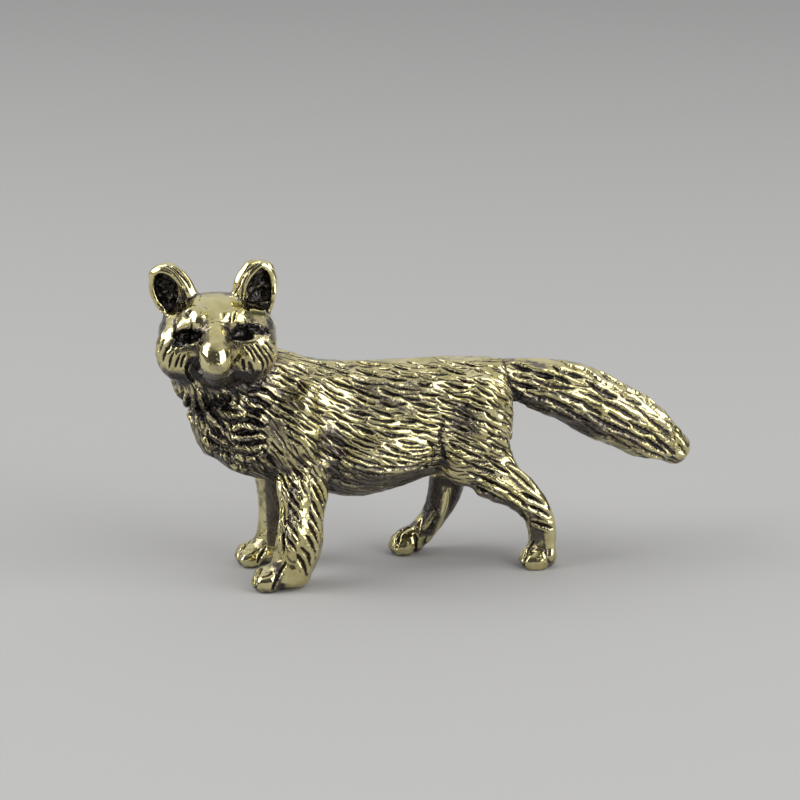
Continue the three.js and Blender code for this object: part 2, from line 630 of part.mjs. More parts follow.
// The head's frame on the neck, with the ears' frames on it
const head = new THREE.Group();
head.position.copy(HEAD_CENTRE);
head.rotation.z = THREE.MathUtils.degToRad(HEAD_TURN);
head.updateMatrix();
const leftEar = earFrame(-1, LEFT_EAR_LEAN);
const rightEar = earFrame(1, RIGHT_EAR_LEAN);
leftEar.add(casting('left_ear', earSolid(leftEar)));
rightEar.add(casting('right_ear', earSolid(rightEar)));

// The neck peg runs down from the head into the torso
const neckPegTo = new THREE.Vector3(
  NECK_SETBACK - CHEST_REACH,
  0,
  HEAD_CENTRE.z - CHIN_DEPTH - NECK_PEG_REACH,
);

let headSolid = fuse(headForms(0)).subtract(fuse(eyeHollows()));
for (const frame of [leftEar, rightEar]) {
  headSolid = headSolid.subtract(solid(peg(earPegFrom, earPegTo, EAR_PEG_RADIUS, JOINT_GAP), frame.matrix));
}
headSolid = headSolid.add(solid(peg(HEAD_CENTRE, neckPegTo, NECK_PEG_RADIUS), head.matrix.clone().invert()));
head.add(casting('head', headSolid), leftEar, rightEar);

// The torso is cut back to the head's underside and takes the pegs of the head, the tail and the legs
let torsoSolid = fuse(torsoForms(0))
  .subtract(fuse(headForms(JOINT_GAP), head.matrix))
  .subtract(solid(peg(HEAD_CENTRE, neckPegTo, NECK_PEG_RADIUS, JOINT_GAP)))
  .subtract(solid(peg(tailPegFrom, tailPegTo, TAIL_PEG_RADIUS, JOINT_GAP)));
for (const { pegFrom, pegTo } of Object.values(legs)) {
  torsoSolid = torsoSolid.subtract(solid(peg(pegFrom, pegTo, LEG_PEG_RADIUS, JOINT_GAP)));
}

const tailSolid = solid(tailForm())
  .subtract(fuse(torsoForms(JOINT_GAP)))
  .add(solid(peg(tailPegFrom, tailPegTo, TAIL_PEG_RADIUS)));

// The whole fox, moved so that the origin lies under the middle of its box
const figure = new THREE.Group();
figure.add(casting('torso', torsoSolid), casting('tail', tailSolid), head);
for (const [name, leg] of Object.entries(legs)) figure.add(casting(name, legSolid(leg)));
const middle = new THREE.Box3().setFromObject(figure, true).getCenter(new THREE.Vector3());
figure.position.set(-middle.x, -middle.y, 0);

const fox = new THREE.Group();
fox.add(figure);
export default fox;
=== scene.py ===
"""Antique brass fox figurine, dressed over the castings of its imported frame.

The castings are joined into one skin, as a founder's wax is before it is cast. The carver's
cuts go into that skin, dark patina settles where it is hollow, and the skin is parted again
along the joints into one closed piece for each casting. The skin is worked in millimetres.
"""

import json
import logging
import math
from dataclasses import dataclass, field
from enum import Enum
from itertools import product
from typing import Iterable, Sequence

import bmesh
import bpy
import numpy as np
from mathutils import Matrix, Vector, noise
from mathutils.bvhtree import BVHTree
from mathutils.kdtree import KDTree

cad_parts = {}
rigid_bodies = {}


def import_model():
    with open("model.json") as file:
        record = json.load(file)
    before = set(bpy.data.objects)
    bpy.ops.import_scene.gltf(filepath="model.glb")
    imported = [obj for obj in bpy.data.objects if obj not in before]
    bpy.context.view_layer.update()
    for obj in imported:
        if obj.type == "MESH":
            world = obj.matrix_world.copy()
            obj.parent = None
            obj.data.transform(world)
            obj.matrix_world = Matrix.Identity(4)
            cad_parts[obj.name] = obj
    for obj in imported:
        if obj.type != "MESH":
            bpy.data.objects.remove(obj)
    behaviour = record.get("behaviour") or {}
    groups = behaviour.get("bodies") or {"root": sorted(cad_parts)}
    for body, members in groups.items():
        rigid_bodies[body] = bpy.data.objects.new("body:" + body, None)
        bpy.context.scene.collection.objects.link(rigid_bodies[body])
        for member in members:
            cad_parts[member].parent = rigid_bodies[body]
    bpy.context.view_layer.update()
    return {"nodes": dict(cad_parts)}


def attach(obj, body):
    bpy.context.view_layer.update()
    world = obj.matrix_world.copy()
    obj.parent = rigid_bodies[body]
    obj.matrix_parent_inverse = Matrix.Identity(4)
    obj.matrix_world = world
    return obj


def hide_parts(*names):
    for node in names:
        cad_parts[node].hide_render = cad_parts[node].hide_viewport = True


LOG = logging.getLogger("fox")
MM = 0.001
BODY = "root"
SLOT = "antique_brass"
MIDPLANE = 2.24
TINY = 1e-9
WELD = 1e-7
GOLDEN_TURN = math.pi * (3.0 - math.sqrt(5.0))

Path = Sequence[tuple[float, float]]
Mound = tuple[float, float, float, float]
Ridge = tuple[Path, float, float]
Patch = tuple[Path, float]
Span = tuple[float, float]
Colour = tuple[float, float, float, float]


class Region(Enum):
    """The pieces of the skin, by name."""

    TORSO = "torso"
    RUFF = "ruff"
    HEAD = "head"
    LEFT_EAR = "left_ear"
    RIGHT_EAR = "right_ear"
    TAIL = "tail"
    FRONT_LEFT = "front_left_leg"
    FRONT_RIGHT = "front_right_leg"
    HIND_LEFT = "hind_left_leg"
    HIND_RIGHT = "hind_right_leg"

    @property
    def node(self) -> str:
        """The frame's node that the piece stands for."""
        return Region.TORSO.value if self is Region.RUFF else self.value


LEGS = (Region.FRONT_LEFT, Region.FRONT_RIGHT, Region.HIND_LEFT, Region.HIND_RIGHT)


def unit(rows: np.ndarray) -> np.ndarray:
    """Scales vectors to a length of one."""
    return rows / np.maximum(np.linalg.norm(rows, axis=-1, keepdims=True), TINY)


def ease(values: np.ndarray, low: float, high: float) -> np.ndarray:
    """Rises smoothly from 0 at low to 1 at high."""
    share = np.clip((values - low) / (high - low), 0.0, 1.0)
    return share * share * (3.0 - 2.0 * share)


def nearest(offset: np.ndarray, sides: np.ndarray) -> tuple[np.ndarray, np.ndarray]:
    """Finds the nearest place on each side of a line.

    Args:
        offset: Each point's place from the start of each side.
        sides: The sides, from start to end.

    Returns:
        How far along each side that place lies, as a share, and how far the point is from it.
    """
    length = np.maximum(np.sum(sides**2, axis=1), TINY)
    share = np.clip(np.sum(offset * sides, axis=2) / length, 0.0, 1.0)
    return share, np.linalg.norm(offset - share[..., None] * sides, axis=2)


def fetch(items: Sequence[object], name: str, width: int, kind: type) -> np.ndarray:
    """Reads one property of all of a mesh's items.

    Args:
        items: The items, such as the mesh's edges.
        name: The property.
        width: How many numbers each item has.
        kind: The type of those numbers.

    Returns:
        One row for each item, or one number where it has just one.
    """
    values = np.empty(len(items) * width, kind)
    items.foreach_get(name, values)
    return values.reshape(-1, width) if width > 1 else values


def put(name: str, data: bpy.types.ID) -> bpy.types.Object:
    """Makes an object and puts it in the scene.

    Args:
        name: Its name.
        data: Its mesh, lamp or camera.

    Returns:
        The object.
    """
    made = bpy.data.objects.new(name, data)
    bpy.context.scene.collection.objects.link(made)
    return made


def set_up(looker: bpy.types.Object, place: Vector, way: Vector) -> None:
    """Puts a lamp or camera in its place, facing a way."""
    looker.location = place
    looker.rotation_euler = way.to_track_quat("-Z", "Y").to_euler()


class Wire:
    """A shader socket that takes part in plain arithmetic."""

    def __init__(self, board: "Board", socket: bpy.types.NodeSocket) -> None:
        """Keeps the board and the socket."""
        self.board = board
        self.socket = socket

    def maths(self, operation: str, *terms: "Wire | float") -> "Wire":
        """Adds one Math node."""
        return self.board.node("ShaderNodeMath", {"operation": operation}, dict(enumerate(terms)))

    def __add__(self, other: "Wire | float") -> "Wire":
        """Sum."""
        return self.maths("ADD", self, other)

    def __sub__(self, other: "Wire | float") -> "Wire":
        """Difference."""
        return self.maths("SUBTRACT", self, other)

    def __rsub__(self, other: "Wire | float") -> "Wire":
        """Difference from a plain number."""
        return self.maths("SUBTRACT", other, self)

    def __mul__(self, other: "Wire | float") -> "Wire":
        """Product."""
        return self.maths("MULTIPLY", self, other)

    __radd__ = __add__
    __rmul__ = __mul__

    def eased(self, low: float, high: float) -> "Wire":
        """Rises smoothly from 0 at low to 1 at high."""
        settings = {"interpolation_type": "SMOOTHSTEP"}
        return self.board.node("ShaderNodeMapRange", settings, {0: self, 1: low, 2: high})


class Board:
    """The node tree of one material or world while it is being wired."""

    noise_rough: float = 0.55

    def __init__(self, owner: bpy.types.Material | bpy.types.World) -> None:
        """Clears the owner's node tree.

        Args:
            owner: The material or world to wire.
        """
        owner.use_nodes = True
        self.tree = owner.node_tree
        self.tree.nodes.clear()

    def node(
        self,
        kind: str,
        settings: dict[str, object] | None = None,
        inputs: dict[int | str, object] | None = None,
        output: int | str = 0,
    ) -> Wire:
        """Adds one node.

        Args:
            kind: Its type, by Blender's name.
            settings: Its properties, set before its sockets.
            inputs: A value or a wire for each socket, by name or place.
            output: The output to hand back.

        Returns:
            That output, or the node's first input where it has no output.
        """
        made = self.tree.nodes.new(kind)
        for name, value in (settings or {}).items():
            setattr(made, name, value)
        for place, value in (inputs or {}).items():
            if isinstance(value, Wire):
                self.tree.links.new(value.socket, made.inputs[place])
            else:
                made.inputs[place].default_value = value
        return Wire(self, made.outputs[output] if made.outputs else made.inputs[0])

    def attribute(self, name: str) -> Wire:
        """Reads one of the skin's own values."""
        return self.node("ShaderNodeAttribute", {"attribute_name": name}, output="Fac")

    def mix(self, share: Wire | float, first: object, second: object) -> Wire:
        """Mixes two colours."""
        settings = {"data_type": "RGBA"}
        return self.node("ShaderNodeMix", settings, {0: share, 6: first, 7: second}, 2)

    def noise(self, place: Wire, size: float, detail: float) -> Wire:
        """Adds soft noise.

        Args:
            place: Coordinates in metres.
            size: Width of its lumps in millimetres.
            detail: How many finer layers it has.

        Returns:
            A value around one half.
        """
        inputs = {
            "Vector": place,
            "Scale": 1.0 / (size * MM),
            "Detail": detail,
            "Roughness": self.noise_rough,
        }
        return self.node("ShaderNodeTexNoise", None, inputs)


@dataclass(frozen=True)
class AntiqueBrass:
    """Brass that was darkened all over and then polished back on everything that stands proud; the
    same dark film and rubbing also carry painted shade and painted highlights.
    """

    bright: Colour = (0.77, 0.70, 0.39, 1.0)
    olive: Colour = (0.60, 0.53, 0.24, 1.0)
    umber: Colour = (0.140, 0.117, 0.092, 1.0)
    soot: Colour = (0.030, 0.025, 0.022, 1.0)
    bright_rough: float = 0.11
    dark_rough: float = 0.16
    crust_rough: float = 0.12
    rough_vary: float = 0.08
    dark_metal: float = 0.85
    lacquer: float = 0.35
    lacquer_rough: float = 0.09
    blotch_size: float = 2.6
    grain_size: float = 0.35
    speck_size: float = 0.62
    grit_size: float = 0.4
    dent_size: float = 0.9
    grain_break: float = 0.30
    blotch_break: float = 0.25
    hair_break: float = 0.6
    olive_span: Span = (0.35, 0.68)
    speck_span: Span = (0.66, 0.72)
    film_span: Span = (0.08, 0.42)
    crust_span: Span = (0.42, 0.80)
    pit_film: float = 0.6
    dent_height: float = 0.45
    grain_height: float = 0.12
    pit_depth: float = 0.5
    grit_height: float = 4.8
    hair_depth: float = 1.2
    fur_grain: float = 0.4
    bump_height: float = 0.05
    bump_strength: float = 0.55
    level_lie: float = 20.0
    steep_lie: float = 58.0
    hair_width: float = 0.42
    hair_stretch: float = 6.0

    def _hair(self, board: Board, place: Wire, lie: float) -> Wire:
        """Adds noise that is drawn out along the fur.

        Args:
            board: The material's board.
            place: Coordinates in metres.
            lie: Degrees by which the fur falls towards the tail.

        Returns:
            A value around one half.
        """
        inputs = {
            "Vector": place,
            "Rotation": (0.0, math.radians(lie), 0.0),
            "Scale": (self.hair_stretch, 1.0, 1.0),
        }
        combed = board.node("ShaderNodeMapping", {"vector_type": "TEXTURE"}, inputs)
        return board.noise(combed, self.hair_width, 2.0)

    def material(self) -> bpy.types.Material:
        """Wires the finish.

        Returns:
            The material that every casting wears.
        """
        made = bpy.data.materials.new(SLOT)
        board = Board(made)
        place = board.node("ShaderNodeTexCoord", output="Object")
        # The first attribute holds real patina in hollows together with painted shade; painted
        # highlights are patches where it was rubbed away.
        patina, fur, steep = (board.attribute(name) for name in ("patina", "fur", "steep"))
        blotch = board.noise(place, self.blotch_size, 3.0)
        grain = board.noise(place, self.grain_size, 3.0)
        speck = board.noise(place, self.speck_size, 2.0)
        hair = self._hair(board, place, self.level_lie)
        hair = hair + steep * (self._hair(board, place, self.steep_lie) - hair)
        hair = fur * (hair - 0.5)
        uneven = self.grain_break * (grain - 0.5) + self.blotch_break * (blotch - 0.5)
        broken = patina + uneven + self.hair_break * hair
        pits = speck.eased(*self.speck_span) * self.pit_film
        film = broken.eased(*self.film_span)
        film = film.maths("MAXIMUM", film, pits)
        crust = broken.eased(*self.crust_span)
        metal = board.mix(blotch.eased(*self.olive_span), self.bright, self.olive)
        colour = board.mix(crust, board.mix(film, metal, self.umber), self.soot)
        gloss = self.bright_rough + self.rough_vary * (blotch - 0.5) + self.rough_vary * (grain - 0.5)
        rough = gloss + film * (self.dark_rough - self.bright_rough) + self.crust_rough * crust
        shine = 1.0 - film * (1.0 - self.dark_metal)
        grit = film * board.noise(place, self.grit_size, 2.0)
        dents = self.dent_height * board.noise(place, self.dent_size, 3.0) + self.grain_height * grain
        fibre = self.hair_depth * hair - self.fur_grain * fur * (grain - 0.5)
        height = dents - self.pit_depth * pits + self.grit_height * grit - fibre
        relief = {
            "Strength": self.bump_strength,
            "Distance": self.bump_height * MM,
            "Height": height,
        }
        bump = board.node("ShaderNodeBump", None, relief)
        shader = board.node(
            "ShaderNodeBsdfPrincipled",
            None,
            {
                "Base Color": colour,
                "Metallic": shine,
                "Roughness": rough,
                "Normal": bump,
                "Coat Weight": self.lacquer * film,
                "Coat Roughness": self.lacquer_rough,
                "Coat Normal": bump,
            },
        )
        board.node("ShaderNodeOutputMaterial", None, {"Surface": shader})
        return made


@dataclass(frozen=True)
class PalePaper:
    """Matt pale paper under the figurine."""

    tone: Colour = (0.44, 0.437, 0.43, 1.0)
    rough: float = 0.9
    shine: float = 0.1

    def material(self) -> bpy.types.Material:
        """Wires the paper.

        Returns:
            The floor's material.
        """
        made = bpy.data.materials.new("pale_paper")
        board = Board(made)
        inputs = {"Base Color": self.tone, "Roughness": self.rough, "Specular IOR Level": self.shine}
        shader = board.node("ShaderNodeBsdfPrincipled", None, inputs)
        board.node("ShaderNodeOutputMaterial", None, {"Surface": shader})
        return made


@dataclass(frozen=True)
class Sight:
    """The camera's line of sight, which also carries drawn cuts onto the skin."""

    target: tuple[float, float, float] = (-3.18, MIDPLANE, 19.45)
    azimuth: float = -13.0
    elevation: float = 15.0
    distance: float = 300.0
    focal: float = 2670.0
    frame: float = 800.0
    sensor: float = 36.0
    clip: Span = (0.01, 20.0)

    @property
    def back(self) -> np.ndarray:
        """Finds the direction from the target to the camera.

        Returns:
            That direction, one long.
        """
        turn, lift = math.radians(self.azimuth), math.radians(self.elevation)
        flat = math.cos(lift)
        return np.array([math.sin(turn) * flat, -math.cos(turn) * flat, math.sin(lift)])

    @property
    def right(self) -> np.ndarray:
        """Direction of the picture's right side."""
        turn = math.radians(self.azimuth)
        return np.array([math.cos(turn), math.sin(turn), 0.0])

    @property
    def up(self) -> np.ndarray:
        """Direction of the picture's top."""
        return np.cross(self.back, self.right)

    @property
    def eye(self) -> np.ndarray:
        """Where the camera stands."""
        return np.array(self.target) + self.distance * self.back

    def ray(self, across: float, down: float) -> np.ndarray:
        """Looks through one place of the picture.

        Args:
            across: Distance from the picture's left side, in its 800 steps.
            down: Distance from its top.

        Returns:
            The direction of sight.
        """
        middle = 0.5 * self.frame
        aside = self.right * (across - middle) / self.focal
        below = self.up * (down - middle) / self.focal
        return unit(aside - below - self.back)

    def picture(self, places: np.ndarray) -> np.ndarray:
        """Finds where places appear in the picture.

        Args:
            places: One place for each row.

        Returns:
            Distance from the picture's left side and top for each place.
        """
        offset = places - self.eye
        scale = self.focal / -(offset @ self.back)
        aside, above = offset @ self.right * scale, offset @ self.up * scale
        return np.stack([0.5 * self.frame + aside, 0.5 * self.frame - above], axis=1)

    def camera(self) -> bpy.types.Object:
        """Sets up the camera.

        Returns:
            The scene's camera.
        """
        data = bpy.data.cameras.new("camera")
        data.sensor_width = self.sensor
        data.lens = self.sensor * self.focal / self.frame
        data.clip_start, data.clip_end = self.clip
        made = put("camera", data)
        set_up(made, Vector(self.eye * MM), Vector(-self.back))
        bpy.context.scene.camera = made
        return made


@dataclass(frozen=True)
class Gouge:
    """One lens-shaped cut of the carver's chisel."""

    length: float
    width: float
    depth: float
    bow: float = 0.0
    vary: float = 0.25


@dataclass(frozen=True)
class Nib:
    """How a drawn line is cut: as a groove, or as a raised lock where the depth is below 0.

    The lip is the swollen fur beside a groove, or the gap beside a lock.
    """

    width: float
    depth: float
    lip: float = 0.0
    blunt: float = 0.4
    soft: float = 1.3


@dataclass(frozen=True)
class Lie:
    """The way the fur lies at one place of a side, as degrees below the level towards the tail."""

    x: float
    z: float
    slope: float
    spread: float = 1.0
    fall: float = 1.5


@dataclass(frozen=True)
class Knot:
    """One place along a round bar, by its picture, its height towards the eye and its radius."""

    across: float
    down: float
    height: float
    radius: float


class Skin:
    """The joined surface of all castings while it is carved."""

    voxel: float = 0.115
    swell: float = 0.2
    ball_rounds: int = 3
    bar_steps: int = 8
    line_steps: int = 7
    line_sag: float = 0.05
    lip_width: float = 0.45
    ragged: float = 0.5
    ragged_size: float = 0.4
    crest_cut: float = 0.15
    lens_taper: float = 0.6
    lens_soft: float = 1.2
    lens_facing: float = 0.25
    label_margin: float = 1.0
    label_far: float = 9.0
    label_rounds: int = 10
    joint_rounds: int = 12
    ruff_back: float = -9.5
    ruff_height: float = 17.0
    ruff_slope: float = 0.45
    turned_away: Span = (-0.05, 0.2)
    look_lift: float = 0.12
    look_tilt: float = 0.7
    look_rounds: int = 4
    shade_rounds: int = 12

    def __init__(
        self, nodes: dict[str, bpy.types.Object], sight: Sight, bars: Sequence[Sequence[Knot]]
    ) -> None:
        """Casts the skin and marks which piece each place belongs to.

        Args:
            nodes: The frame's nodes by name.
            sight: The line of sight for drawn cuts.
            bars: Round bars of wax that are added to the castings.
        """
        self.sight = sight
        self.regions = list(Region)
        self._read(self._cast(nodes, bars))
        self.points -= self.swell * self.normals()
        self._label(nodes)
        self._even_joints()
        self.lift, self.crest, self.cut, self.stain, self.bare_and_lit = np.zeros((5, len(self.points)))

    def _add_bar(self, wax: bmesh.types.BMesh, knots: Sequence[Knot]) -> None:
        """Adds a round bar, as a row of balls, to the wax.

        Args:
            wax: The wax.
            knots: Places along the bar.
        """
        rows = np.array([(knot.across, knot.down, knot.height, knot.radius) for knot in knots])
        for one, two in zip(rows, rows[1:]):
            for share in np.linspace(0.0, 1.0, self.bar_steps):
                across, down, height, radius = one + share * (two - one)
                way = self.sight.ray(across, down)
                depth = height - radius - self.sight.eye @ self.sight.back
                place = Vector(self.sight.eye + way * depth / (way @ self.sight.back))
                bmesh.ops.create_icosphere(
                    wax,
                    subdivisions=self.ball_rounds,
                    radius=radius + self.swell,
                    matrix=Matrix.Translation(place),
                )

    def _cast(
        self, nodes: dict[str, bpy.types.Object], bars: Sequence[Sequence[Knot]]
    ) -> bpy.types.Mesh:
        """Joins the swollen castings into one surface.

        Args:
            nodes: The frame's nodes by name.
            bars: Round bars of wax that are added to the castings.

        Returns:
            The remeshed surface.
        """
        joined = bmesh.new()
        for node in nodes.values():
            part = merged_copy(node)
            for vertex in part.verts:
                vertex.co += self.swell * vertex.normal
            swollen = bpy.data.meshes.new("swollen")
            part.to_mesh(swollen)
            part.free()
            joined.from_mesh(swollen)
            bpy.data.meshes.remove(swollen)
        for knots in bars:
            self._add_bar(joined, knots)
        wax = bpy.data.meshes.new("wax")
        joined.to_mesh(wax)
        joined.free()
        holder = put("wax", wax)
        remesh = holder.modifiers.new("cast", "REMESH")
        remesh.mode = "VOXEL"
        remesh.voxel_size = self.voxel
        graph = bpy.context.evaluated_depsgraph_get()
        cast = bpy.data.meshes.new_from_object(holder.evaluated_get(graph))
        bpy.data.objects.remove(holder)
        bpy.data.meshes.remove(wax)
        return cast

    def _read(self, mesh: bpy.types.Mesh) -> None:
        """Takes over the points, faces and edges of the cast surface.

        Args:
            mesh: The cast surface.
        """
        self.mesh = mesh
        count = len(mesh.vertices)
        self.points = fetch(mesh.vertices, "co", 3, np.float64)
        self.edges = fetch(mesh.edges, "vertices", 2, np.int64)
        both = np.concatenate([self.edges, self.edges[:, ::-1]])
        both = both[np.argsort(both[:, 0], kind="stable")]
        self.beside = both[:, 1]
        self.first = np.searchsorted(both[:, 0], np.arange(count))
        self.degree = np.bincount(both[:, 0], minlength=count)[:, None]
        self.quads = fetch(mesh.loops, "vertex_index", 1, np.int64).reshape(-1, 4)

    def normals(self) -> np.ndarray:
        """Works out which way the skin faces.

        Returns:
            The outward direction at each point.
        """
        a, b, c, d = (self.points[self.quads[:, k]] for k in range(4))
        faces = np.cross(c - a, d - b)
        total = np.zeros_like(self.points)
        for axis in range(3):
            weights = np.repeat(faces[:, axis], 4)
            total[:, axis] = np.bincount(self.quads.ravel(), weights, len(self.points))
        return unit(total)

    def mean(self, values: np.ndarray) -> np.ndarray:
        """Averages the neighbours of every point.

        Args:
            values: One row for each point.

        Returns:
            The neighbours' mean for each point.
        """
        rows = values if values.ndim == 2 else values[:, None]
        found = np.add.reduceat(rows[self.beside], self.first, axis=0) / self.degree
        return found if values.ndim == 2 else found[:, 0]

    def blur(self, values: np.ndarray, rounds: int) -> np.ndarray:
        """Spreads values over the surface.

        Args:
            values: One row for each point.
            rounds: How many times each point takes half of its neighbours' mean.

        Returns:
            The spread values.
        """
        for _ in range(rounds):
            values = 0.5 * values + 0.5 * self.mean(values)
        return values

    def smooth(self, share: np.ndarray, rounds: int) -> None:
        """Melts facets into round forms, and gives back the bulk that this takes away.

        Args:
            share: How much each point gives way.
            rounds: How many times it is evened.
        """
        start = self.points.copy()
        for _ in range(rounds):
            self.points += 0.5 * share[:, None] * (self.mean(self.points) - self.points)
        self.points += self.blur(start - self.points, rounds)

    def refresh(self) -> None:
        """Brings normals, search tree and sight tree up to date."""
        self.facing = self.normals()
        self.tree = KDTree(len(self.points))
        for index, point in enumerate(self.points.tolist()):
            self.tree.insert(point, index)
        self.tree.balance()
        self.target = BVHTree.FromPolygons(self.points.tolist(), self.quads.tolist())

    def _label(self, nodes: dict[str, bpy.types.Object]) -> None:
        """Marks the piece that every point and face belongs to.

        Args:
            nodes: The frame's nodes by name.
        """
        names = list(nodes)
        gaps = np.full((len(self.points), len(names)), self.label_far)
        for column, name in enumerate(names):
            part = merged_copy(nodes[name])
            tree = BVHTree.FromBMesh(part)
            corners = np.array([vertex.co for vertex in part.verts])
            part.free()
            low, high = corners.min(0) - self.label_margin, corners.max(0) + self.label_margin
            inside = np.flatnonzero(np.all((self.points > low) & (self.points < high), axis=1))
            found = [tree.find_nearest(point)[3] for point in self.points[inside].tolist()]
            gaps[inside, column] = found
        gaps = self.blur(gaps, self.label_rounds)
        number = np.array([self.regions.index(Region(name)) for name in names])
        self.owner = number[np.argmin(gaps, axis=1)]
        self.face_owner = number[np.argmin(gaps[self.quads].sum(axis=1), axis=1)]
        middle = self.points[self.quads].mean(axis=1)
        for owner, place in ((self.owner, self.points), (self.face_owner, middle)):
            lean = self.ruff_slope * (place[:, 2] - self.ruff_height)
            ahead = place[:, 0] < self.ruff_back + lean
            torso = owner == self.regions.index(Region.TORSO)
            owner[torso & ahead] = self.regions.index(Region.RUFF)

    def _even_joints(self) -> None:
        """Draws the stepped edges between the pieces into smooth lines."""
        lowest = np.full(len(self.points), len(self.regions))
        highest = np.zeros(len(self.points), int)
        for column in range(4):
            np.minimum.at(lowest, self.quads[:, column], self.face_owner)
            np.maximum.at(highest, self.quads[:, column], self.face_owner)
        self.joint = lowest != highest
        lines = self.edges[self.joint[self.edges].all(axis=1)]
        count = np.bincount(lines.ravel(), minlength=len(self.points))
        for _ in range(self.joint_rounds):
            total = np.zeros_like(self.points)
            np.add.at(total, lines[:, 0], self.points[lines[:, 1]])
            np.add.at(total, lines[:, 1], self.points[lines[:, 0]])
            move = total / np.maximum(count, 1)[:, None] - self.points
            self.points += np.where((count > 1)[:, None], 0.5 * move, 0.0)

    def belongs(self, *regions: Region) -> np.ndarray:
        """Tells which points belong to some pieces."""
        return np.isin(self.owner, [self.regions.index(region) for region in regions])

    def within(self, place: Sequence[float], reach: float) -> np.ndarray:
        """Finds the points near a place."""
        return np.array([found[1] for found in self.tree.find_range(place, reach)], int)

    def seen(self, across: float, down: float) -> tuple[np.ndarray, np.ndarray] | None:
        """Finds the place of the skin behind one place of the picture."""
        place, up, _, _ = self.target.ray_cast(self.sight.eye, self.sight.ray(across, down))
        return None if place is None else (np.array(place), np.array(up))

    def press(self, across: float, down: float, reach: float, height: float) -> None:
        """Raises a soft mound, or sinks a hollow.

        Args:
            across: Its middle from the picture's left side.
            down: Its middle from the picture's top.
            reach: Its radius.
            height: How far it rises, below 0 for a hollow.
        """
        place, up = self.seen(across, down)
        near = self.within(place, reach)
        gap = np.linalg.norm(self.points[near] - place, axis=1) / reach
        share = np.clip(1.0 - gap * gap, 0.0, 1.0) ** 2
        share *= self.facing[near] @ up > 0.0
        self.lift[near] += height * share

    def _trail(self, path: Path) -> np.ndarray:
        """Carries a drawn line onto the skin.

        Args:
            path: Places of the picture along the line.

        Returns:
            Close places on the skin.
        """
        knots = np.array(path, float)
        if len(knots) == 2:
            sag = self.line_sag * (knots[1] - knots[0])[::-1] * (-1.0, 1.0)
            knots = np.stack([knots[0], knots.mean(0) + sag, knots[1]])
        ends = np.concatenate([[2 * knots[0] - knots[1]], knots, [2 * knots[-1] - knots[-2]]])
        drawn = []
        for k in range(1, len(ends) - 2):
            p, q, r, s = ends[k - 1 : k + 3]
            for t in np.linspace(0.0, 1.0, self.line_steps, endpoint=False):
                bend = (2 * p - 5 * q + 4 * r - s) * t**2 + (3 * q - p - 3 * r + s) * t**3
                drawn.append(q + 0.5 * ((r - p) * t + bend))
        drawn.append(knots[-1])
        found = [self.seen(x, y) for x, y in drawn]
        return np.array([spot[0] for spot in found if spot is not None])

    def stroke(self, path: Path, nib: Nib) -> None:
        """Cuts a groove with ragged edges along a drawn line, or raises a lock.

        Args:
            path: Places of the picture along the line.
            nib: How it is cut.
        """
        trail = self._trail(path)
        if len(trail) < 2:
            LOG.warning("the line from %s misses the figurine", path[0])
            return
        reach = max(nib.width, 0.5 * nib.width + self.lip_width)
        near = np.unique(np.concatenate([self.within(spot, reach) for spot in trail[::2]]))
        legs = np.diff(trail, axis=0)
        span = np.linalg.norm(legs, axis=1)
        share, gap = nearest(self.points[near][:, None] - trail[None, :-1], legs)
        best = np.argmin(gap, axis=1)
        rows = np.arange(len(near))
        gap = gap[rows, best]
        passed = np.concatenate([[0.0], np.cumsum(span)])[best]
        run = (passed + share[rows, best] * span[best]) / span.sum()
        taper = np.clip(4.0 * run * (1.0 - run), TINY, 1.0) ** nib.blunt
        half = 0.5 * nib.width * taper
        worked, other = self.crest, self.cut
        if nib.depth > 0.0:
            spots = (self.points[near] / self.ragged_size).tolist()
            half = half * (1.0 + self.ragged * np.array([noise.noise(spot) for spot in spots]))
            worked, other = self.cut, self.crest
        level = np.clip(1.0 - (gap / half) ** 2, 0.0, 1.0) ** nib.soft
        worked[near] = np.maximum(worked[near], abs(nib.depth) * taper * level)
        ring = np.clip((gap - half) / self.lip_width, 0.0, 1.0)
        other[near] = np.maximum(other[near], nib.lip * taper**2 * np.sin(math.pi * ring))

    def _behind(self, outline: Path, edge: float, where: np.ndarray) -> tuple[np.ndarray, np.ndarray]:
        """Finds the points behind a drawn outline.

        Args:
            outline: Corners of the outline in the picture.
            edge: Width of its soft rim in steps of the picture.
            where: True for each point that may count.

        Returns:
            Numbers of the points that face the eye, and a share that rises from the rim inwards.
        """
        chosen = np.flatnonzero(where & (self.facing @ self.sight.back > 0.0))
        places = self.sight.picture(self.points[chosen])
        corners = np.array(outline, float)
        sides = np.roll(corners, -1, axis=0) - corners
        offset = places[:, None] - corners[None]
        gap = nearest(offset, sides)[1].min(axis=1)
        above = corners[None, :, 1] > places[:, None, 1]
        crossing = above != np.roll(above, -1, axis=1)
        slope = offset[..., 1] / np.where(np.abs(sides[:, 1]) < TINY, TINY, sides[:, 1])
        right = places[:, None, 0] < corners[None, :, 0] + slope * sides[:, 0]
        inside = np.sum(crossing & right, axis=1) % 2 == 1
        return chosen, ease(np.where(inside, gap, 0.0), 0.0, edge)

    def scoop(self, outline: Path, depth: float, edge: float, where: np.ndarray) -> None:
        """Hollows out what a drawn outline holds, away from the eye."""
        chosen, share = self._behind(outline, edge, where)
        self.points[chosen] -= np.outer(depth * share, self.sight.back)

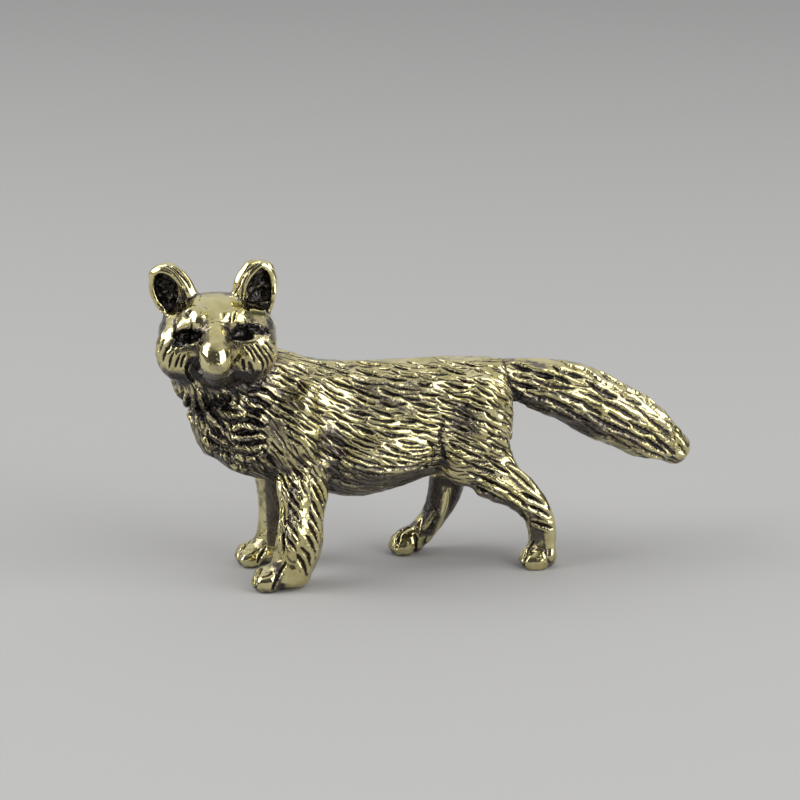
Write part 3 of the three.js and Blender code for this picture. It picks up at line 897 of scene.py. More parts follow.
    def melt(self, outline: Path, edge: float, rounds: int, where: np.ndarray) -> None:
        """Melts what a drawn outline holds.

        Args:
            outline: Corners of the outline in the picture.
            edge: Width of its soft rim in steps of the picture.
            rounds: How many times it is evened.
            where: True for each point that may move.
        """
        chosen, share = self._behind(outline, edge, where)
        chosen, share = chosen[share > 0.0], share[share > 0.0][:, None]
        count = self.degree[chosen, 0]
        first = np.cumsum(count) - count
        beside = self.beside[np.repeat(self.first[chosen] - first, count) + np.arange(count.sum())]
        for _ in range(rounds):
            around = np.add.reduceat(self.points[beside], first, axis=0) / count[:, None]
            self.points[chosen] += 0.5 * share * (around - self.points[chosen])

    def paint(self, outline: Path, amount: float, edge: float, where: np.ndarray) -> None:
        """Darkens what a drawn outline holds: patina in the eye hollows and ear cups, painted shade
        everywhere else.
        """
        chosen, share = self._behind(outline, edge, where)
        self.stain[chosen] = np.maximum(self.stain[chosen], amount * share)

    def buff(self, outline: Path, amount: float, edge: float, where: np.ndarray) -> None:
        """Rubs the patina and painted shade off inside a drawn outline, partly as real polish and
        partly as a painted highlight.

        Args:
            outline: Corners of the outline in the picture.
            amount: How much of it goes, up to 1.
            edge: Width of its soft rim in steps of the picture.
            where: True for each point that is rubbed.
        """
        chosen, share = self._behind(outline, edge, where)
        self.bare_and_lit[chosen] = np.maximum(self.bare_and_lit[chosen], amount * share)
        self.stain[chosen] *= 1.0 - amount * share

    def unseen(self) -> np.ndarray:
        """Share by which each point is turned away from the eye."""
        return 1.0 - ease(self.facing @ self.sight.back, *self.turned_away)

    def roughen(self, height: np.ndarray, size: float) -> None:
        """Makes the skin lumpy.

        Args:
            height: How high the lumps stand at each point.
            size: How wide they are.
        """
        chosen = np.flatnonzero(height > 0.0)
        lumps = [noise.noise(Vector(place)) for place in (self.points[chosen] / size).tolist()]
        self.lift[chosen] += height[chosen] * np.array(lumps)

    def gouge(self, place: np.ndarray, along: np.ndarray, up: np.ndarray, tool: Gouge) -> None:
        """Cuts one lens-shaped gouge.

        Args:
            place: Its middle on the skin.
            along: Its direction.
            up: The skin's outward direction there.
            tool: Its sizes.
        """
        near = self.within(place, 0.5 * tool.length + tool.width)
        side = np.cross(up, along)
        offset = self.points[near] - place
        run = offset @ along / (0.5 * tool.length)
        lens = np.clip(1.0 - run * run, 0.0, 1.0)
        aside = offset @ side - tool.bow * lens
        half = 0.5 * tool.width * np.maximum(lens, TINY) ** self.lens_taper
        share = np.clip(1.0 - (aside / half) ** 2, 0.0, 1.0) ** self.lens_soft
        share[self.facing[near] @ up < self.lens_facing] = 0.0
        self.cut[near] = np.maximum(self.cut[near], tool.depth * np.sqrt(lens) * share)

    def settle(self) -> None:
        """Moves the skin by the mounds and cuts made since the last time."""
        crest = self.crest * (1.0 - ease(self.cut, 0.0, self.crest_cut))
        self.points += (self.lift + crest - self.cut)[:, None] * self.facing
        for worked in (self.lift, self.crest, self.cut):
            worked[:] = 0.0

    def hollows(self, rounds: int) -> np.ndarray:
        """Measures how far every point lies below its surroundings."""
        return np.sum((self.blur(self.points, rounds) - self.points) * self.normals(), axis=1)

    def shade(self, rays: int, reach: float, step: int) -> np.ndarray:
        """Measures how closed in every point is.

        Args:
            rays: How many ways to look from each point.
            reach: How far each look goes.
            step: Every how many points it is measured, the rest taking it from around.

        Returns:
            The share of looks that meet the figurine again.
        """
        tree = BVHTree.FromPolygons(self.points.tolist(), self.quads.tolist())
        facing = self.blur(self.normals(), self.look_rounds)
        chosen = np.arange(0, len(self.points), step)
        up = unit(facing[chosen])
        turn = np.arange(rays) * GOLDEN_TURN
        height = np.sqrt((np.arange(rays) + self.look_tilt) / rays)
        spread = np.sqrt(1.0 - height**2)
        helper = np.where(np.abs(up[:, 2:]) < 0.9, [[0.0, 0.0, 1.0]], [[1.0, 0.0, 0.0]])
        first = unit(np.cross(helper, up))
        second = np.cross(up, first)
        start = (self.points[chosen] + self.look_lift * up).tolist()
        closed = np.zeros(len(chosen))
        for a, b, c in zip(np.cos(turn) * spread, np.sin(turn) * spread, height):
            ways = (a * first + b * second + c * up).tolist()
            met = [tree.ray_cast(place, way, reach)[3] for place, way in zip(start, ways)]
            closed += [0.0 if gap is None else 1.0 - gap / reach for gap in met]
        known = np.zeros((len(self.points), 2))
        known[chosen] = np.stack([closed / rays, np.ones(len(chosen))], axis=1)
        known = self.blur(known, self.shade_rounds)
        return known[:, 0] / np.maximum(known[:, 1], TINY)


def lengthen(path: Path, factor: float) -> np.ndarray:
    """Draws a line longer about its middle."""
    knots = np.array(path, float)
    return knots.mean(0) + factor * (knots - knots.mean(0))


def merged_copy(node: bpy.types.Object) -> bmesh.types.BMesh:
    """Copies a node's mesh, in millimetres and with its loose triangles joined.

    Args:
        node: The node's object.

    Returns:
        The copy.
    """
    copy = bmesh.new()
    copy.from_mesh(node.data)
    bmesh.ops.remove_doubles(copy, verts=copy.verts, dist=WELD)
    bmesh.ops.scale(copy, vec=(1.0 / MM,) * 3, verts=copy.verts)
    copy.normal_update()
    return copy


@dataclass(frozen=True)
class Coat:
    """Fur cut in staggered gouges, with a share of its depth on the seen side."""

    tool: Gouge
    row_gap: float
    step_gap: float
    seed: int
    seen: float = 0.0
    tries: int = 30000
    least: float = 0.12
    swing: float = 6.0

    def lay(self, skin: Skin, weight: np.ndarray, flow: np.ndarray) -> int:
        """Cuts the fur.

        Args:
            skin: The skin to cut.
            weight: Share of the full depth at each point, 0 where there is no fur.
            flow: The way the fur lies at each point.

        Returns:
            How many gouges were cut.
        """
        draw = np.random.default_rng(self.seed)
        order = draw.permutation(np.flatnonzero(weight > self.least))[: self.tries]
        held: dict[tuple[int, int, int], list[int]] = {}
        made = 0
        for index in order.tolist():
            place, way = skin.points[index], flow[index]
            x, y, z = np.floor(place / self.step_gap).astype(int).tolist()
            cells = [(x + i, y + j, z + k) for i, j, k in product((-1, 0, 1), repeat=3)]
            others = [other for cell in cells for other in held.get(cell, ())]
            if others:
                offset = skin.points[others] - place
                run = offset @ way
                aside = np.linalg.norm(offset - np.outer(run, way), axis=1)
                if np.any((run / self.step_gap) ** 2 + (aside / self.row_gap) ** 2 < 1.0):
                    continue
            held.setdefault((x, y, z), []).append(index)
            made += 1
            size, thick = 1.0 + self.tool.vary * draw.uniform(-1.0, 1.0, 2)
            swing = math.radians(draw.normal(0.0, self.swing))
            tool = Gouge(
                self.tool.length * size,
                self.tool.width * thick,
                self.tool.depth * weight[index] * math.sqrt(thick),
                self.tool.bow * draw.uniform(-1.0, 1.0),
            )
            up = skin.facing[index]
            along = way * math.cos(swing) + np.cross(up, way) * math.sin(swing)
            skin.gouge(place, along, up, tool)
        return made


def along_skin(skin: Skin, ways: np.ndarray) -> np.ndarray:
    """Lays directions flat on the skin."""
    ways = np.broadcast_to(ways, skin.points.shape)
    return unit(ways - np.sum(ways * skin.facing, axis=1)[:, None] * skin.facing)


def lie_of_fur(skin: Skin, lies: Iterable[Lie]) -> np.ndarray:
    """Blends the set ways of the fur into one for every point.

    Args:
        skin: The skin.
        lies: The set ways.

    Returns:
        A direction along the skin for each point.
    """
    total = np.zeros_like(skin.points)
    for lie in lies:
        gap = (skin.points[:, 0] - lie.x) ** 2 + (skin.points[:, 2] - lie.z) ** 2
        slope = math.radians(lie.slope)
        way = np.array([math.cos(slope), 0.0, -math.sin(slope)])
        total += way / (gap + lie.spread)[:, None] ** lie.fall
    return along_skin(skin, total)


@dataclass
class Casting:
    """One piece of the figurine."""

    region: Region
    melt: float = 1.0
    bar: tuple[Knot, ...] = ()
    mounds: tuple[Mound, ...] = ()
    ridges: tuple[Ridge, ...] = ()
    ridge_blunt: float = 0.45
    shadows: tuple[Patch, ...] = ()
    lights: tuple[Patch, ...] = ()
    shadow_edge: float = 5.0
    light_edge: float = 4.0

    def soften(self, skin: Skin) -> np.ndarray:
        """Tells how far this piece's facets melt."""
        return self.melt * skin.belongs(self.region)

    def reach(self, skin: Skin) -> np.ndarray:
        """Tells where this piece's shadows and lights may fall."""
        return skin.belongs(self.region)

    def form(self, skin: Skin) -> None:
        """Presses this piece's own forms out of the skin, paints shadows onto parts of it and rubs
        painted highlights into others.

        Args:
            skin: The joined skin.
        """
        where = self.reach(skin)
        for across, down, reach, height in self.mounds:
            skin.press(across, down, reach, height)
        for path, width, height in self.ridges:
            skin.stroke(path, Nib(width, -height, blunt=self.ridge_blunt))
        # Painted shade: each shadow darkens a patch with dark film.
        for outline, amount in self.shadows:
            skin.paint(outline, amount, self.shadow_edge, where)
        # Painted highlights, partly real polish: each light rubs a patch bright.
        for outline, amount in self.lights:
            skin.buff(outline, amount, self.light_edge, where)

    def carve(self, skin: Skin) -> None:
        """Cuts this piece's own detail into the skin."""

    def piece(self, skin: Skin, finish: bpy.types.Material) -> bpy.types.Object:
        """Parts this piece from the skin, closes it and dresses it.

        Args:
            skin: The carved skin.
            finish: The material it wears.

        Returns:
            The finished piece.
        """
        form = bmesh.new()
        form.from_mesh(skin.mesh)
        form.faces.ensure_lookup_table()
        others = np.flatnonzero(skin.face_owner != skin.regions.index(self.region))
        bmesh.ops.delete(form, geom=[form.faces[k] for k in others.tolist()], context="FACES")
        for face in form.faces:
            face.smooth = True
        rim = [edge for edge in form.edges if edge.is_boundary]
        caps = bmesh.ops.holes_fill(form, edges=rim, sides=0)["faces"]
        for face in bmesh.ops.poke(form, faces=caps)["faces"]:
            face.smooth = False
        name = self.region.value + "_brass"
        mesh = bpy.data.meshes.new(name)
        form.to_mesh(mesh)
        form.free()
        self._match_joints(mesh)
        mesh.materials.append(finish)
        made = put(name, mesh)
        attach(made, BODY)
        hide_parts(self.region.node)
        return made

    @staticmethod
    def _match_joints(mesh: bpy.types.Mesh) -> None:
        """Gives the piece the whole skin's normals, so that its joints don't show.

        Args:
            mesh: The piece's mesh.
        """
        store = mesh.attributes["skin_normal"]
        corners = fetch(mesh.loops, "vertex_index", 1, np.int64)
        count = fetch(mesh.polygons, "loop_total", 1, np.int64)
        skinned = np.repeat(fetch(mesh.polygons, "use_smooth", 1, bool), count)
        flat = np.repeat(fetch(mesh.polygons, "normal", 3, np.float32), count, axis=0)
        kept = fetch(store.data, "vector", 3, np.float32)[corners]
        both = np.where(skinned[:, None], kept, flat)
        mesh.attributes.remove(store)
        mesh.normals_split_custom_set(both.tolist())


@dataclass
class Furred(Casting):
    """A piece whose fur is drawn on the seen side and strewn on the other."""

    coats: tuple[Coat, ...] = ()
    lies: tuple[Lie, ...] = ()
    marks: tuple[Path, ...] = ()
    mark_nib: Nib = Nib(0.5, 0.4)
    mark_stretch: float = 1.0

    def comb(self, skin: Skin, weight: np.ndarray) -> None:
        """Cuts the drawn fur and the coats.

        Args:
            skin: The joined skin.
            weight: How much fur each point carries, from 0 to 1.
        """
        for mark in self.marks:
            skin.stroke(lengthen(mark, self.mark_stretch), self.mark_nib)
        flow = lie_of_fur(skin, self.lies)
        unseen = skin.unseen()
        count = 0
        for coat in self.coats:
            count += coat.lay(skin, weight * (coat.seen + (1.0 - coat.seen) * unseen), flow)
        LOG.info("%s: %d gouges", self.region.value, count)


@dataclass
class Torso(Furred):
    """Trunk and haunches."""

    region: Region = Region.TORSO
    coats: tuple[Coat, ...] = (
        Coat(Gouge(3.0, 0.52, 0.38, 0.18, 0.35), 0.86, 2.4, 11),
        Coat(Gouge(2.1, 0.32, 0.22, 0.10, 0.35), 0.66, 1.8, 21, seen=0.8),
    )
    mark_nib: Nib = Nib(0.48, 0.38, 0.05)
    mark_stretch: float = 1.2
    back_facing: Span = (0.65, 0.9)
    back_width: Span = (0.6, 2.2)
    back_rub: float = 0.85
    shadow_edge: float = 12.0
    light_edge: float = 9.0
    ridges: tuple[Ridge, ...] = (
        (((478, 368), (482, 390), (484, 410), (484, 440)), 4.5, 0.50),
        (((338, 466), (365, 462), (400, 459), (434, 452)), 7.5, 1.0),
    )
    crease_nib: Nib = Nib(0.8, 0.30)
    crease: Path = ((444, 420), (441, 434), (442, 446), (445, 460))
    lies: tuple[Lie, ...] = (
        Lie(-19.0, 24.0, 25.0),
        Lie(-5.0, 23.0, 16.0),
        Lie(6.0, 23.0, 24.0),
        Lie(-3.0, 17.0, 16.0),
        Lie(-3.0, 11.0, 4.0),
        Lie(3.0, 12.0, -4.0),
        Lie(5.5, 15.0, 36.0),
        Lie(9.0, 18.0, 28.0),
        Lie(-14.0, 20.0, 34.0),
        Lie(-14.0, 14.0, 52.0),
        Lie(-20.0, 17.0, 50.0),
        Lie(-24.0, 17.0, 78.0),
    )
    marks: tuple[Path, ...] = (
        ((286.8, 351.7), (295.7, 355.7)), ((310, 361), (325.2, 363.8)),
        ((317.1, 368.7), (331.4, 374.9)), ((335.9, 363.3), (346.6, 365.5)),
        ((335.9, 369.1), (349.3, 372.7)), ((358.2, 361.5), (379.6, 365.1)),
        ((357.3, 369.1), (377, 375.4)), ((279.6, 366.4), (297.5, 375.4)),
        ((281.4, 373.6), (295.7, 381.6)), ((280.5, 379.8), (286.8, 385.2)),
        ((300.2, 380.7), (317.1, 393.2)), ((297.5, 382.5), (306.4, 393.2)),
        ((322.5, 383.4), (342.1, 395)), ((327.9, 378), (353.8, 387.9)),
        ((326.1, 392.3), (349.3, 404.8)), ((310.9, 397.7), (325.2, 406.6)),
        ((310, 407.5), (322.5, 412.9)), ((310, 417.3), (324.3, 424.5)),
        ((301.1, 423.6), (311.8, 429.8)), ((285.9, 425.4), (300.2, 435.2)),
        ((286.8, 435.2), (301.1, 444.1)), ((306.4, 434.3), (320.7, 443.2)),
        ((310, 447.7), (324.3, 458.4)), ((303.8, 454.8), (315.4, 464.6)),
        ((295.7, 457.5), (306.4, 467.3)), ((293, 469.1), (306.4, 479.8)),
        ((353.8, 380.3), (371.6, 383.4)), ((352.9, 387), (378.8, 397.7)),
        ((357.3, 397.7), (374.3, 403.9)), ((351.1, 411.1), (369.8, 414.6)),
        ((371.6, 408.4), (389.5, 414.6)), ((334.1, 412.9), (354.6, 422.7)),
        ((354.6, 425.4), (374.3, 432.9)), ((351.1, 432.5), (373.4, 441.4)),
        ((336.8, 423.6), (350.2, 430.7)), ((371.6, 418.2), (393.9, 420.9)),
        ((376.1, 424.5), (399.3, 428)), ((376.1, 430.7), (397.5, 437)),
        ((385.9, 444.1), (399.3, 450.4)), ((378.8, 450.4), (399.3, 456.6)),
        ((352.9, 440.5), (374.3, 447.7)), ((340.4, 441.4), (358.2, 449.5)),
        ((343.9, 450.4), (363.6, 460.2)), ((343.9, 458.4), (365.4, 467.3)),
        ((362.7, 460.2), (379.6, 464.6)), ((333.2, 466.4), (354.6, 474.5)),
        ((370.7, 467.3), (385, 470)), ((354.6, 470), (383.2, 475.4)),
        ((335, 474.5), (347.5, 480.7)), ((322.5, 449.5), (340.4, 459.3)), ((328, 436), (343, 446)),
        ((438, 359.3), (457.7, 365.5)), ((465.7, 362.4), (481.8, 366.4)),
        ((475.5, 368.7), (487.1, 373.6)), ((393.4, 370.4), (417.5, 377.1)),
        ((409.5, 362), (437.1, 366.4)), ((393.4, 363.8), (407.7, 369.1)),
        ((442.5, 366.4), (464.8, 373.6)), ((458.6, 378), (473.8, 382.5)),
        ((474.6, 378.9), (488, 384.3)), ((477.3, 387), (491.6, 395.9)),
        ((445.2, 389.6), (469.3, 397.7)), ((446.1, 382.5), (465.7, 387.9)),
        ((469.3, 397.7), (485.4, 403.9)), ((438.9, 398.6), (456.8, 404.8)),
        ((463, 403), (483.6, 411.1)), ((440.7, 407.5), (460.4, 411.1)),
        ((456.8, 411.1), (482.7, 421.8)), ((488, 400.4), (503.2, 409.3)),
        ((485.4, 411.1), (497.9, 420.9)), ((487.1, 422.7), (500.5, 429.8)),
        ((488.9, 432.5), (501.4, 437.9)), ((494.3, 391.4), (508.1, 400.9)),
        ((490.7, 380.7), (505, 387.9)), ((491.6, 444.1), (505, 450.4)),
        ((442.5, 415.5), (451.4, 421.8)), ((456.8, 426.3), (468.4, 430.7)),
        ((455.9, 437), (469.3, 442.3)), ((464.8, 442.3), (484.5, 451.3)),
        ((458.6, 445.9), (480, 457.5)), ((449.6, 442.3), (458.6, 448.6)),
        ((447.9, 451.3), (464.8, 460.2)), ((465.7, 462), (492.5, 470.9)),
        ((380, 411.1), (391.6, 416.4)), ((401.4, 421.3), (417.5, 420.9)),
        ((417.5, 420.9), (437.1, 426.3)), ((411.3, 402.1), (433.6, 406.6)),
        ((419.3, 410.2), (437.1, 412.9)), ((420.2, 393.2), (438.9, 395)),
        ((386.3, 383.4), (407.7, 388.8)), ((380.9, 388.8), (402.3, 395.9)),
        ((380.9, 402.1), (397, 406.6)), ((418.4, 383.4), (430, 384.3)),
        ((399.6, 440.5), (417.5, 443.2)), ((410.4, 451.3), (428.2, 450.4)),
        ((428.2, 441.4), (438.9, 447.7)), ((401.4, 456.6), (420.2, 460.2)),
        ((422.9, 457.5), (438, 454.8)), ((397.9, 462), (406.8, 463.8)),
        ((381.8, 466.4), (397.9, 467.3)), ((397.9, 467.3), (419.3, 466.4)),
        ((419.3, 466.4), (438, 464.6)), ((333.9, 477.1), (355.3, 485.3)), ((418, 374), (440, 379)),
        ((384, 376), (400, 380)), ((402, 397), (418, 400)), ((491, 461), (508, 472)),
        ((484, 455), (499, 462)), ((288, 478), (299, 490)), ((300, 480), (308, 494)),
        ((270, 395), (284, 402)), ((277, 404), (292, 412)), ((268, 409), (283, 418)),
        ((281, 415), (297, 424)), ((262, 447), (272, 459)), ((257, 458), (267, 470)),
        ((268, 456), (278, 469)), ((272, 443), (283, 455)), ((386, 432), (406, 436)),
        ((404, 446), (424, 447)), ((412, 430), (430, 433)), ((392, 450), (410, 454)),
    )
    mounds: tuple[Mound, ...] = (
        (295, 358, 3.0, 0.30), (325, 365, 3.2, 0.42), (352, 367, 3.4, 0.45), (380, 364, 3.0, 0.25),
        (352, 415, 4.5, -0.45), (472, 452, 3.6, 0.30), (457, 458, 2.0, 0.55), (492, 365, 2.8, 0.62),
        (503, 373, 1.7, 0.30), (460, 422, 3.2, -0.40),
    )
    shadows: tuple[Patch, ...] = (
        (((316, 420), (345, 422), (354, 445), (346, 484), (326, 488), (320, 462)), 0.45),
        (((258, 388), (296, 384), (302, 400), (298, 440), (280, 456), (258, 440)), 0.30),
        (((350, 374), (438, 372), (438, 420), (350, 416)), 0.32),
        (((443, 400), (484, 396), (486, 440), (462, 444), (445, 434)), 0.42),
        (((328, 472), (396, 468), (392, 484), (345, 502)), 0.40),
        (((380, 466), (446, 462), (446, 498), (380, 506)), 0.5),
    )
    lights: tuple[Patch, ...] = (
        (
            (
                (298, 374), (322, 372), (356, 382), (350, 408), (324, 412), (320, 440), (316, 476),
                (302, 476), (298, 440), (298, 410),
            ),
            0.75,
        ),
        (((372, 416), (438, 420), (441, 454), (400, 464), (368, 448)), 0.65),
        (((482, 364), (508, 368), (514, 412), (508, 450), (486, 450), (484, 410)), 0.75),
        (((447, 440), (472, 450), (476, 484), (450, 486), (446, 462)), 0.7),
        (((392, 458), (440, 454), (440, 468), (390, 470)), 0.7),
        (((340, 354), (380, 352), (502, 352), (502, 367), (440, 365), (340, 369)), 0.85),
    )

    def reach(self, skin: Skin) -> np.ndarray:
        """Tells where the trunk's shadows and lights may fall."""
        return skin.belongs(Region.TORSO, Region.RUFF)

    def form(self, skin: Skin) -> None:
        """Models rump, flank and thigh."""
        super().form(skin)
        skin.stroke(self.crease, self.crease_nib)

    def carve(self, skin: Skin) -> None:
        """Cuts the fur, and leaves the ridge of the back almost smooth.

        Args:
            skin: The joined skin.
        """
        spine = np.abs(skin.points[:, 1] - MIDPLANE)
        back = ease(skin.facing[:, 2], *self.back_facing) * (1.0 - ease(spine, *self.back_width))
        self.comb(skin, self.reach(skin) * (1.0 - self.back_rub * back))


@dataclass
class Ruff(Casting):
    """Neck, shoulders and the hanging locks of the chest."""

    region: Region = Region.RUFF
    locks: tuple[Path, ...] = (
        ((198, 388), (204, 406), (213, 423), (226, 436)),
        ((207, 394), (214, 406), (226, 415), (243, 416)),
        ((229, 430), (246, 427), (262, 429)),
        ((231, 439), (248, 437.5), (266, 437)),
        ((234, 447), (250, 450), (267, 446)),
        ((202, 438), (209, 446), (218, 449)),
        ((229, 464), (238, 469), (249, 470)),
        ((232, 456), (243, 460.5), (256, 459)),
        ((185, 394), (187, 408), (193, 424)),
        ((192, 398), (196, 414), (203, 430)),
        ((222, 391), (231, 397), (232, 406)),
        ((215, 397), (223, 402), (230, 404)),
        ((210, 430), (219, 441), (229, 446)),
        ((246, 404), (255, 406), (264, 413)),
        ((248, 394), (262, 396), (274, 403)),
        ((247, 414), (258, 417), (268, 424)),
        ((220, 455), (229, 459), (236, 462)),
    )
    lock_nib: Nib = Nib(1.0, -0.34, 0.32, 0.3, 0.7)
    mounds: tuple[Mound, ...] = (
        (282, 398, 2.8, -0.45), (332, 444, 2.8, -0.40), (334, 386, 3.0, 0.25),
    )
    ridges: tuple[Ridge, ...] = (
        (((313, 380), (306, 400), (304, 425), (306, 450), (307, 470)), 3.6, 0.55),
    )
    shadows: tuple[Patch, ...] = (
        (
            ((186, 396), (236, 390), (264, 420), (264, 448), (236, 456), (212, 450), (194, 430)),
            0.12,
        ),
    )
    shadow_edge: float = 8.0
    lights: tuple[Patch, ...] = (
        (((296, 402), (308, 400), (309, 425), (312, 450), (314, 472), (304, 474), (300, 445)), 0.6),
    )

    def form(self, skin: Skin) -> None:
        """Raises the hanging locks.

        Args:
            skin: The joined skin.
        """
        super().form(skin)
        for lock in self.locks:
            skin.stroke(lock, self.lock_nib)


@dataclass
class Tail(Furred):
    """The brush of the tail."""

    region: Region = Region.TAIL
    coats: tuple[Coat, ...] = (
        Coat(Gouge(3.6, 0.62, 0.38, 0.15, 0.35), 0.85, 2.8, 12),
        Coat(Gouge(2.8, 0.34, 0.24, 0.10, 0.35), 0.74, 2.4, 22, seen=0.45),
    )
    lies: tuple[Lie, ...] = (Lie(8.0, 21.5, 8.0), Lie(18.0, 18.5, 24.0), Lie(28.0, 13.0, 34.0))
    seam: Path = ((503, 358.7), (510, 380), (516, 399))
    marks: tuple[Path, ...] = (
        ((512.8, 364), (532, 370)), ((514, 374), (530, 378)), ((533, 370.8), (553, 377)),
        ((511.4, 381), (536, 388.2)), ((536, 380), (573, 387.5)), ((554, 366.5), (581, 376.2)),
        ((557, 376.8), (588, 385.5)), ((563, 361.5), (586, 369)), ((586.4, 369.5), (616, 388.2)),
        ((588, 381.5), (615, 396.2)), ((621, 381.5), (643, 395)), ((558, 392), (584, 402)),
        ((590.4, 396.2), (616, 407), (635, 419)), ((545, 396.5), (571, 408.5)),
        ((566, 409), (588, 421)), ((550, 408.5), (571, 419)), ((584, 403), (601, 414)),
        ((590.4, 413.7), (627, 432.4)), ((610, 414), (629, 426)), ((630.6, 421.7), (653.4, 433.7)),
        ((634.6, 404.3), (656, 423), (674.8, 437.8)), ((648, 401.6), (679, 426)),
        ((620, 391.5), (640, 403.5)), ((586.4, 425.7), (606, 436.8)), ((609, 435.5), (629, 447.5)),
        ((625, 430), (648, 442.5)), ((630.6, 440.4), (663, 458)), ((646, 438), (665, 452)),
        ((655, 434), (674, 453)), ((675, 434), (687, 454)), ((527, 392), (547, 400)),
        ((524, 401), (548, 411)), ((570, 424), (590, 434)), ((596, 388), (612, 398)),
        ((602, 373), (622, 384)), ((640, 392), (658, 404)),
    )
    mark_nib: Nib = Nib(0.80, 0.42, 0.06)
    mark_stretch: float = 1.2
    seam_nib: Nib = Nib(0.6, 0.16)
    tip: Span = (27.5, 30.0)
    top_facing: Span = (0.45, 0.8)
    top_rub: float = 0.9
    ridges: tuple[Ridge, ...] = (
        (((522, 394), (560, 409), (600, 427), (640, 444), (672, 456)), 8.5, 0.75),
    )
    lights: tuple[Patch, ...] = (
        (
            (
                (512, 352), (560, 350), (612, 362), (652, 384), (684, 412), (696, 440), (694, 468),
                (676, 456), (668, 436), (640, 408), (612, 392), (575, 371), (540, 363), (514, 362),
            ),
            0.95,
        ),
        (
            (
                (548, 386), (560, 374), (600, 384), (634, 402), (664, 428), (656, 440), (612, 420),
                (576, 408),
            ),
            0.45,
        ),
        (((586, 426), (630, 434), (668, 446), (690, 462), (676, 472), (640, 464), (600, 450)), 0.6),
    )

    def carve(self, skin: Skin) -> None:
        """Cuts the brush, and leaves its ridge and tip smooth.

        Args:
            skin: The joined skin.
        """
        skin.stroke(self.seam, self.seam_nib)
        tip = ease(skin.points[:, 0], *self.tip)
        top = ease(skin.facing[:, 2], *self.top_facing)
        self.comb(skin, skin.belongs(self.region) * (1.0 - tip) * (1.0 - self.top_rub * top))


@dataclass
class Leg(Furred):
    """One leg with its paw."""

    coats: tuple[Coat, ...] = (Coat(Gouge(2.6, 0.50, 0.32, 0.1, 0.35), 0.85, 2.2, 13),)
    mark_nib: Nib = Nib(0.54, 0.38, 0.14)
    mark_stretch: float = 1.15
    toes: tuple[Path, ...] = ()
    toe_nib: Nib = Nib(0.62, 0.38, blunt=0.25)
    toe_melt: float = 0.35
    toe_top: float = 2.0
    paw_top: float = 3.6
    paw_fade: float = 1.4
    lies: tuple[Lie, ...] = (
        Lie(-16.0, 12.0, 58.0),
        Lie(-17.0, 5.0, 62.0),
        Lie(6.0, 13.0, 40.0),
        Lie(11.0, 6.0, 60.0),
        Lie(1.0, 8.0, 110.0),
    )

    def soften(self, skin: Skin) -> np.ndarray:
        """Tells how far this leg's facets melt, the toes less."""
        above = ease(skin.points[:, 2], self.toe_top, self.paw_top)
        return skin.belongs(self.region) * (self.toe_melt + (1.0 - self.toe_melt) * above)

    def carve(self, skin: Skin) -> None:
        """Cuts the leg's fur and toes.

        Args:
            skin: The joined skin.
        """
        for toe in self.toes:
            skin.stroke(toe, self.toe_nib)
        above = ease(skin.points[:, 2], self.paw_top, self.paw_top + self.paw_fade)
        self.comb(skin, skin.belongs(self.region) * above)


FORELEG_MARKS: tuple[Path, ...] = (
    ((313.9, 478.2), (320.6, 487.7), (325.4, 501)),
    ((313, 486), (318, 494), (322, 503)),
    ((312, 501), (317, 509), (322, 520)),
    ((310, 513), (315, 521), (320, 531)),
    ((309, 524), (314, 532), (318, 542)),
    ((307, 536), (312, 543), (316, 553)),
    ((301.5, 548), (308.2, 555.6), (310.1, 565)),
    ((297.7, 555.6), (304.4, 566.2), (307.2, 575)),
    ((288.1, 491.6), (293.9, 500.2), (299.6, 508.5)),
    ((289.1, 505), (293.9, 511.6), (298.6, 520)),
    ((287.2, 521.2), (293.9, 530.8), (298.6, 539)),
    ((287.2, 538.5), (291.9, 545.1), (295.8, 551)),
    ((274.7, 469.6), (281.4, 477.2), (287.2, 490)),
    ((278.6, 491.6), (283, 508), (285, 524)),
    ((293.9, 469.6), (300, 474.5), (306.3, 481)),
    ((280.5, 527), (283.5, 540), (283, 553)),
)
FOREPAW_TOES: tuple[Path, ...] = (
    ((286.2, 561.4), (279, 572.9), (272.5, 591)), ((262, 567), (256.5, 578), (255, 592)),
)
FORELEG_RIDGES: tuple[Ridge, ...] = (
    (((305, 462), (302, 490), (300, 515), (297, 540), (293, 560)), 2.2, 0.55),
    (((276, 474), (283, 500), (284.5, 525), (283, 552)), 1.0, 0.28),
)
FORELEG_MOUNDS: tuple[Mound, ...] = (
    (257, 582, 1.7, 0.40), (270, 580, 1.5, 0.25), (296, 575, 2.0, 0.40), (302, 550, 5.5, 0.90),
)
HINDLEG_MOUNDS: tuple[Mound, ...] = ((542, 566, 3.2, 0.40),)
FORELEG_SHADOWS: tuple[Patch, ...] = (
    (((287, 482), (301, 482), (298, 510), (295, 546), (286, 550), (286.5, 515)), 0.6),
    (((272, 562), (286, 558), (286, 570), (281, 592), (271, 592)), 0.6),
)
FORELEG_LIGHTS: tuple[Patch, ...] = (
    (((302, 464), (316, 464), (311, 505), (306, 532), (300, 560), (290, 560), (299, 510)), 0.95),
    (((278, 484), (288, 488), (289, 535), (280, 552), (279, 520)), 0.8),
    (((285, 558), (312, 556), (312, 590), (282, 594)), 0.8),
)
FAR_FORELEG_SHADOWS: tuple[Patch, ...] = (
    (((262, 474), (284, 474), (284, 550), (265, 548)), 0.55),
)
FAR_FOREPAW_TOES: tuple[Path, ...] = (
    ((254, 537), (245, 545), (238, 556)), ((266, 546), (261, 554), (258, 564)),
)
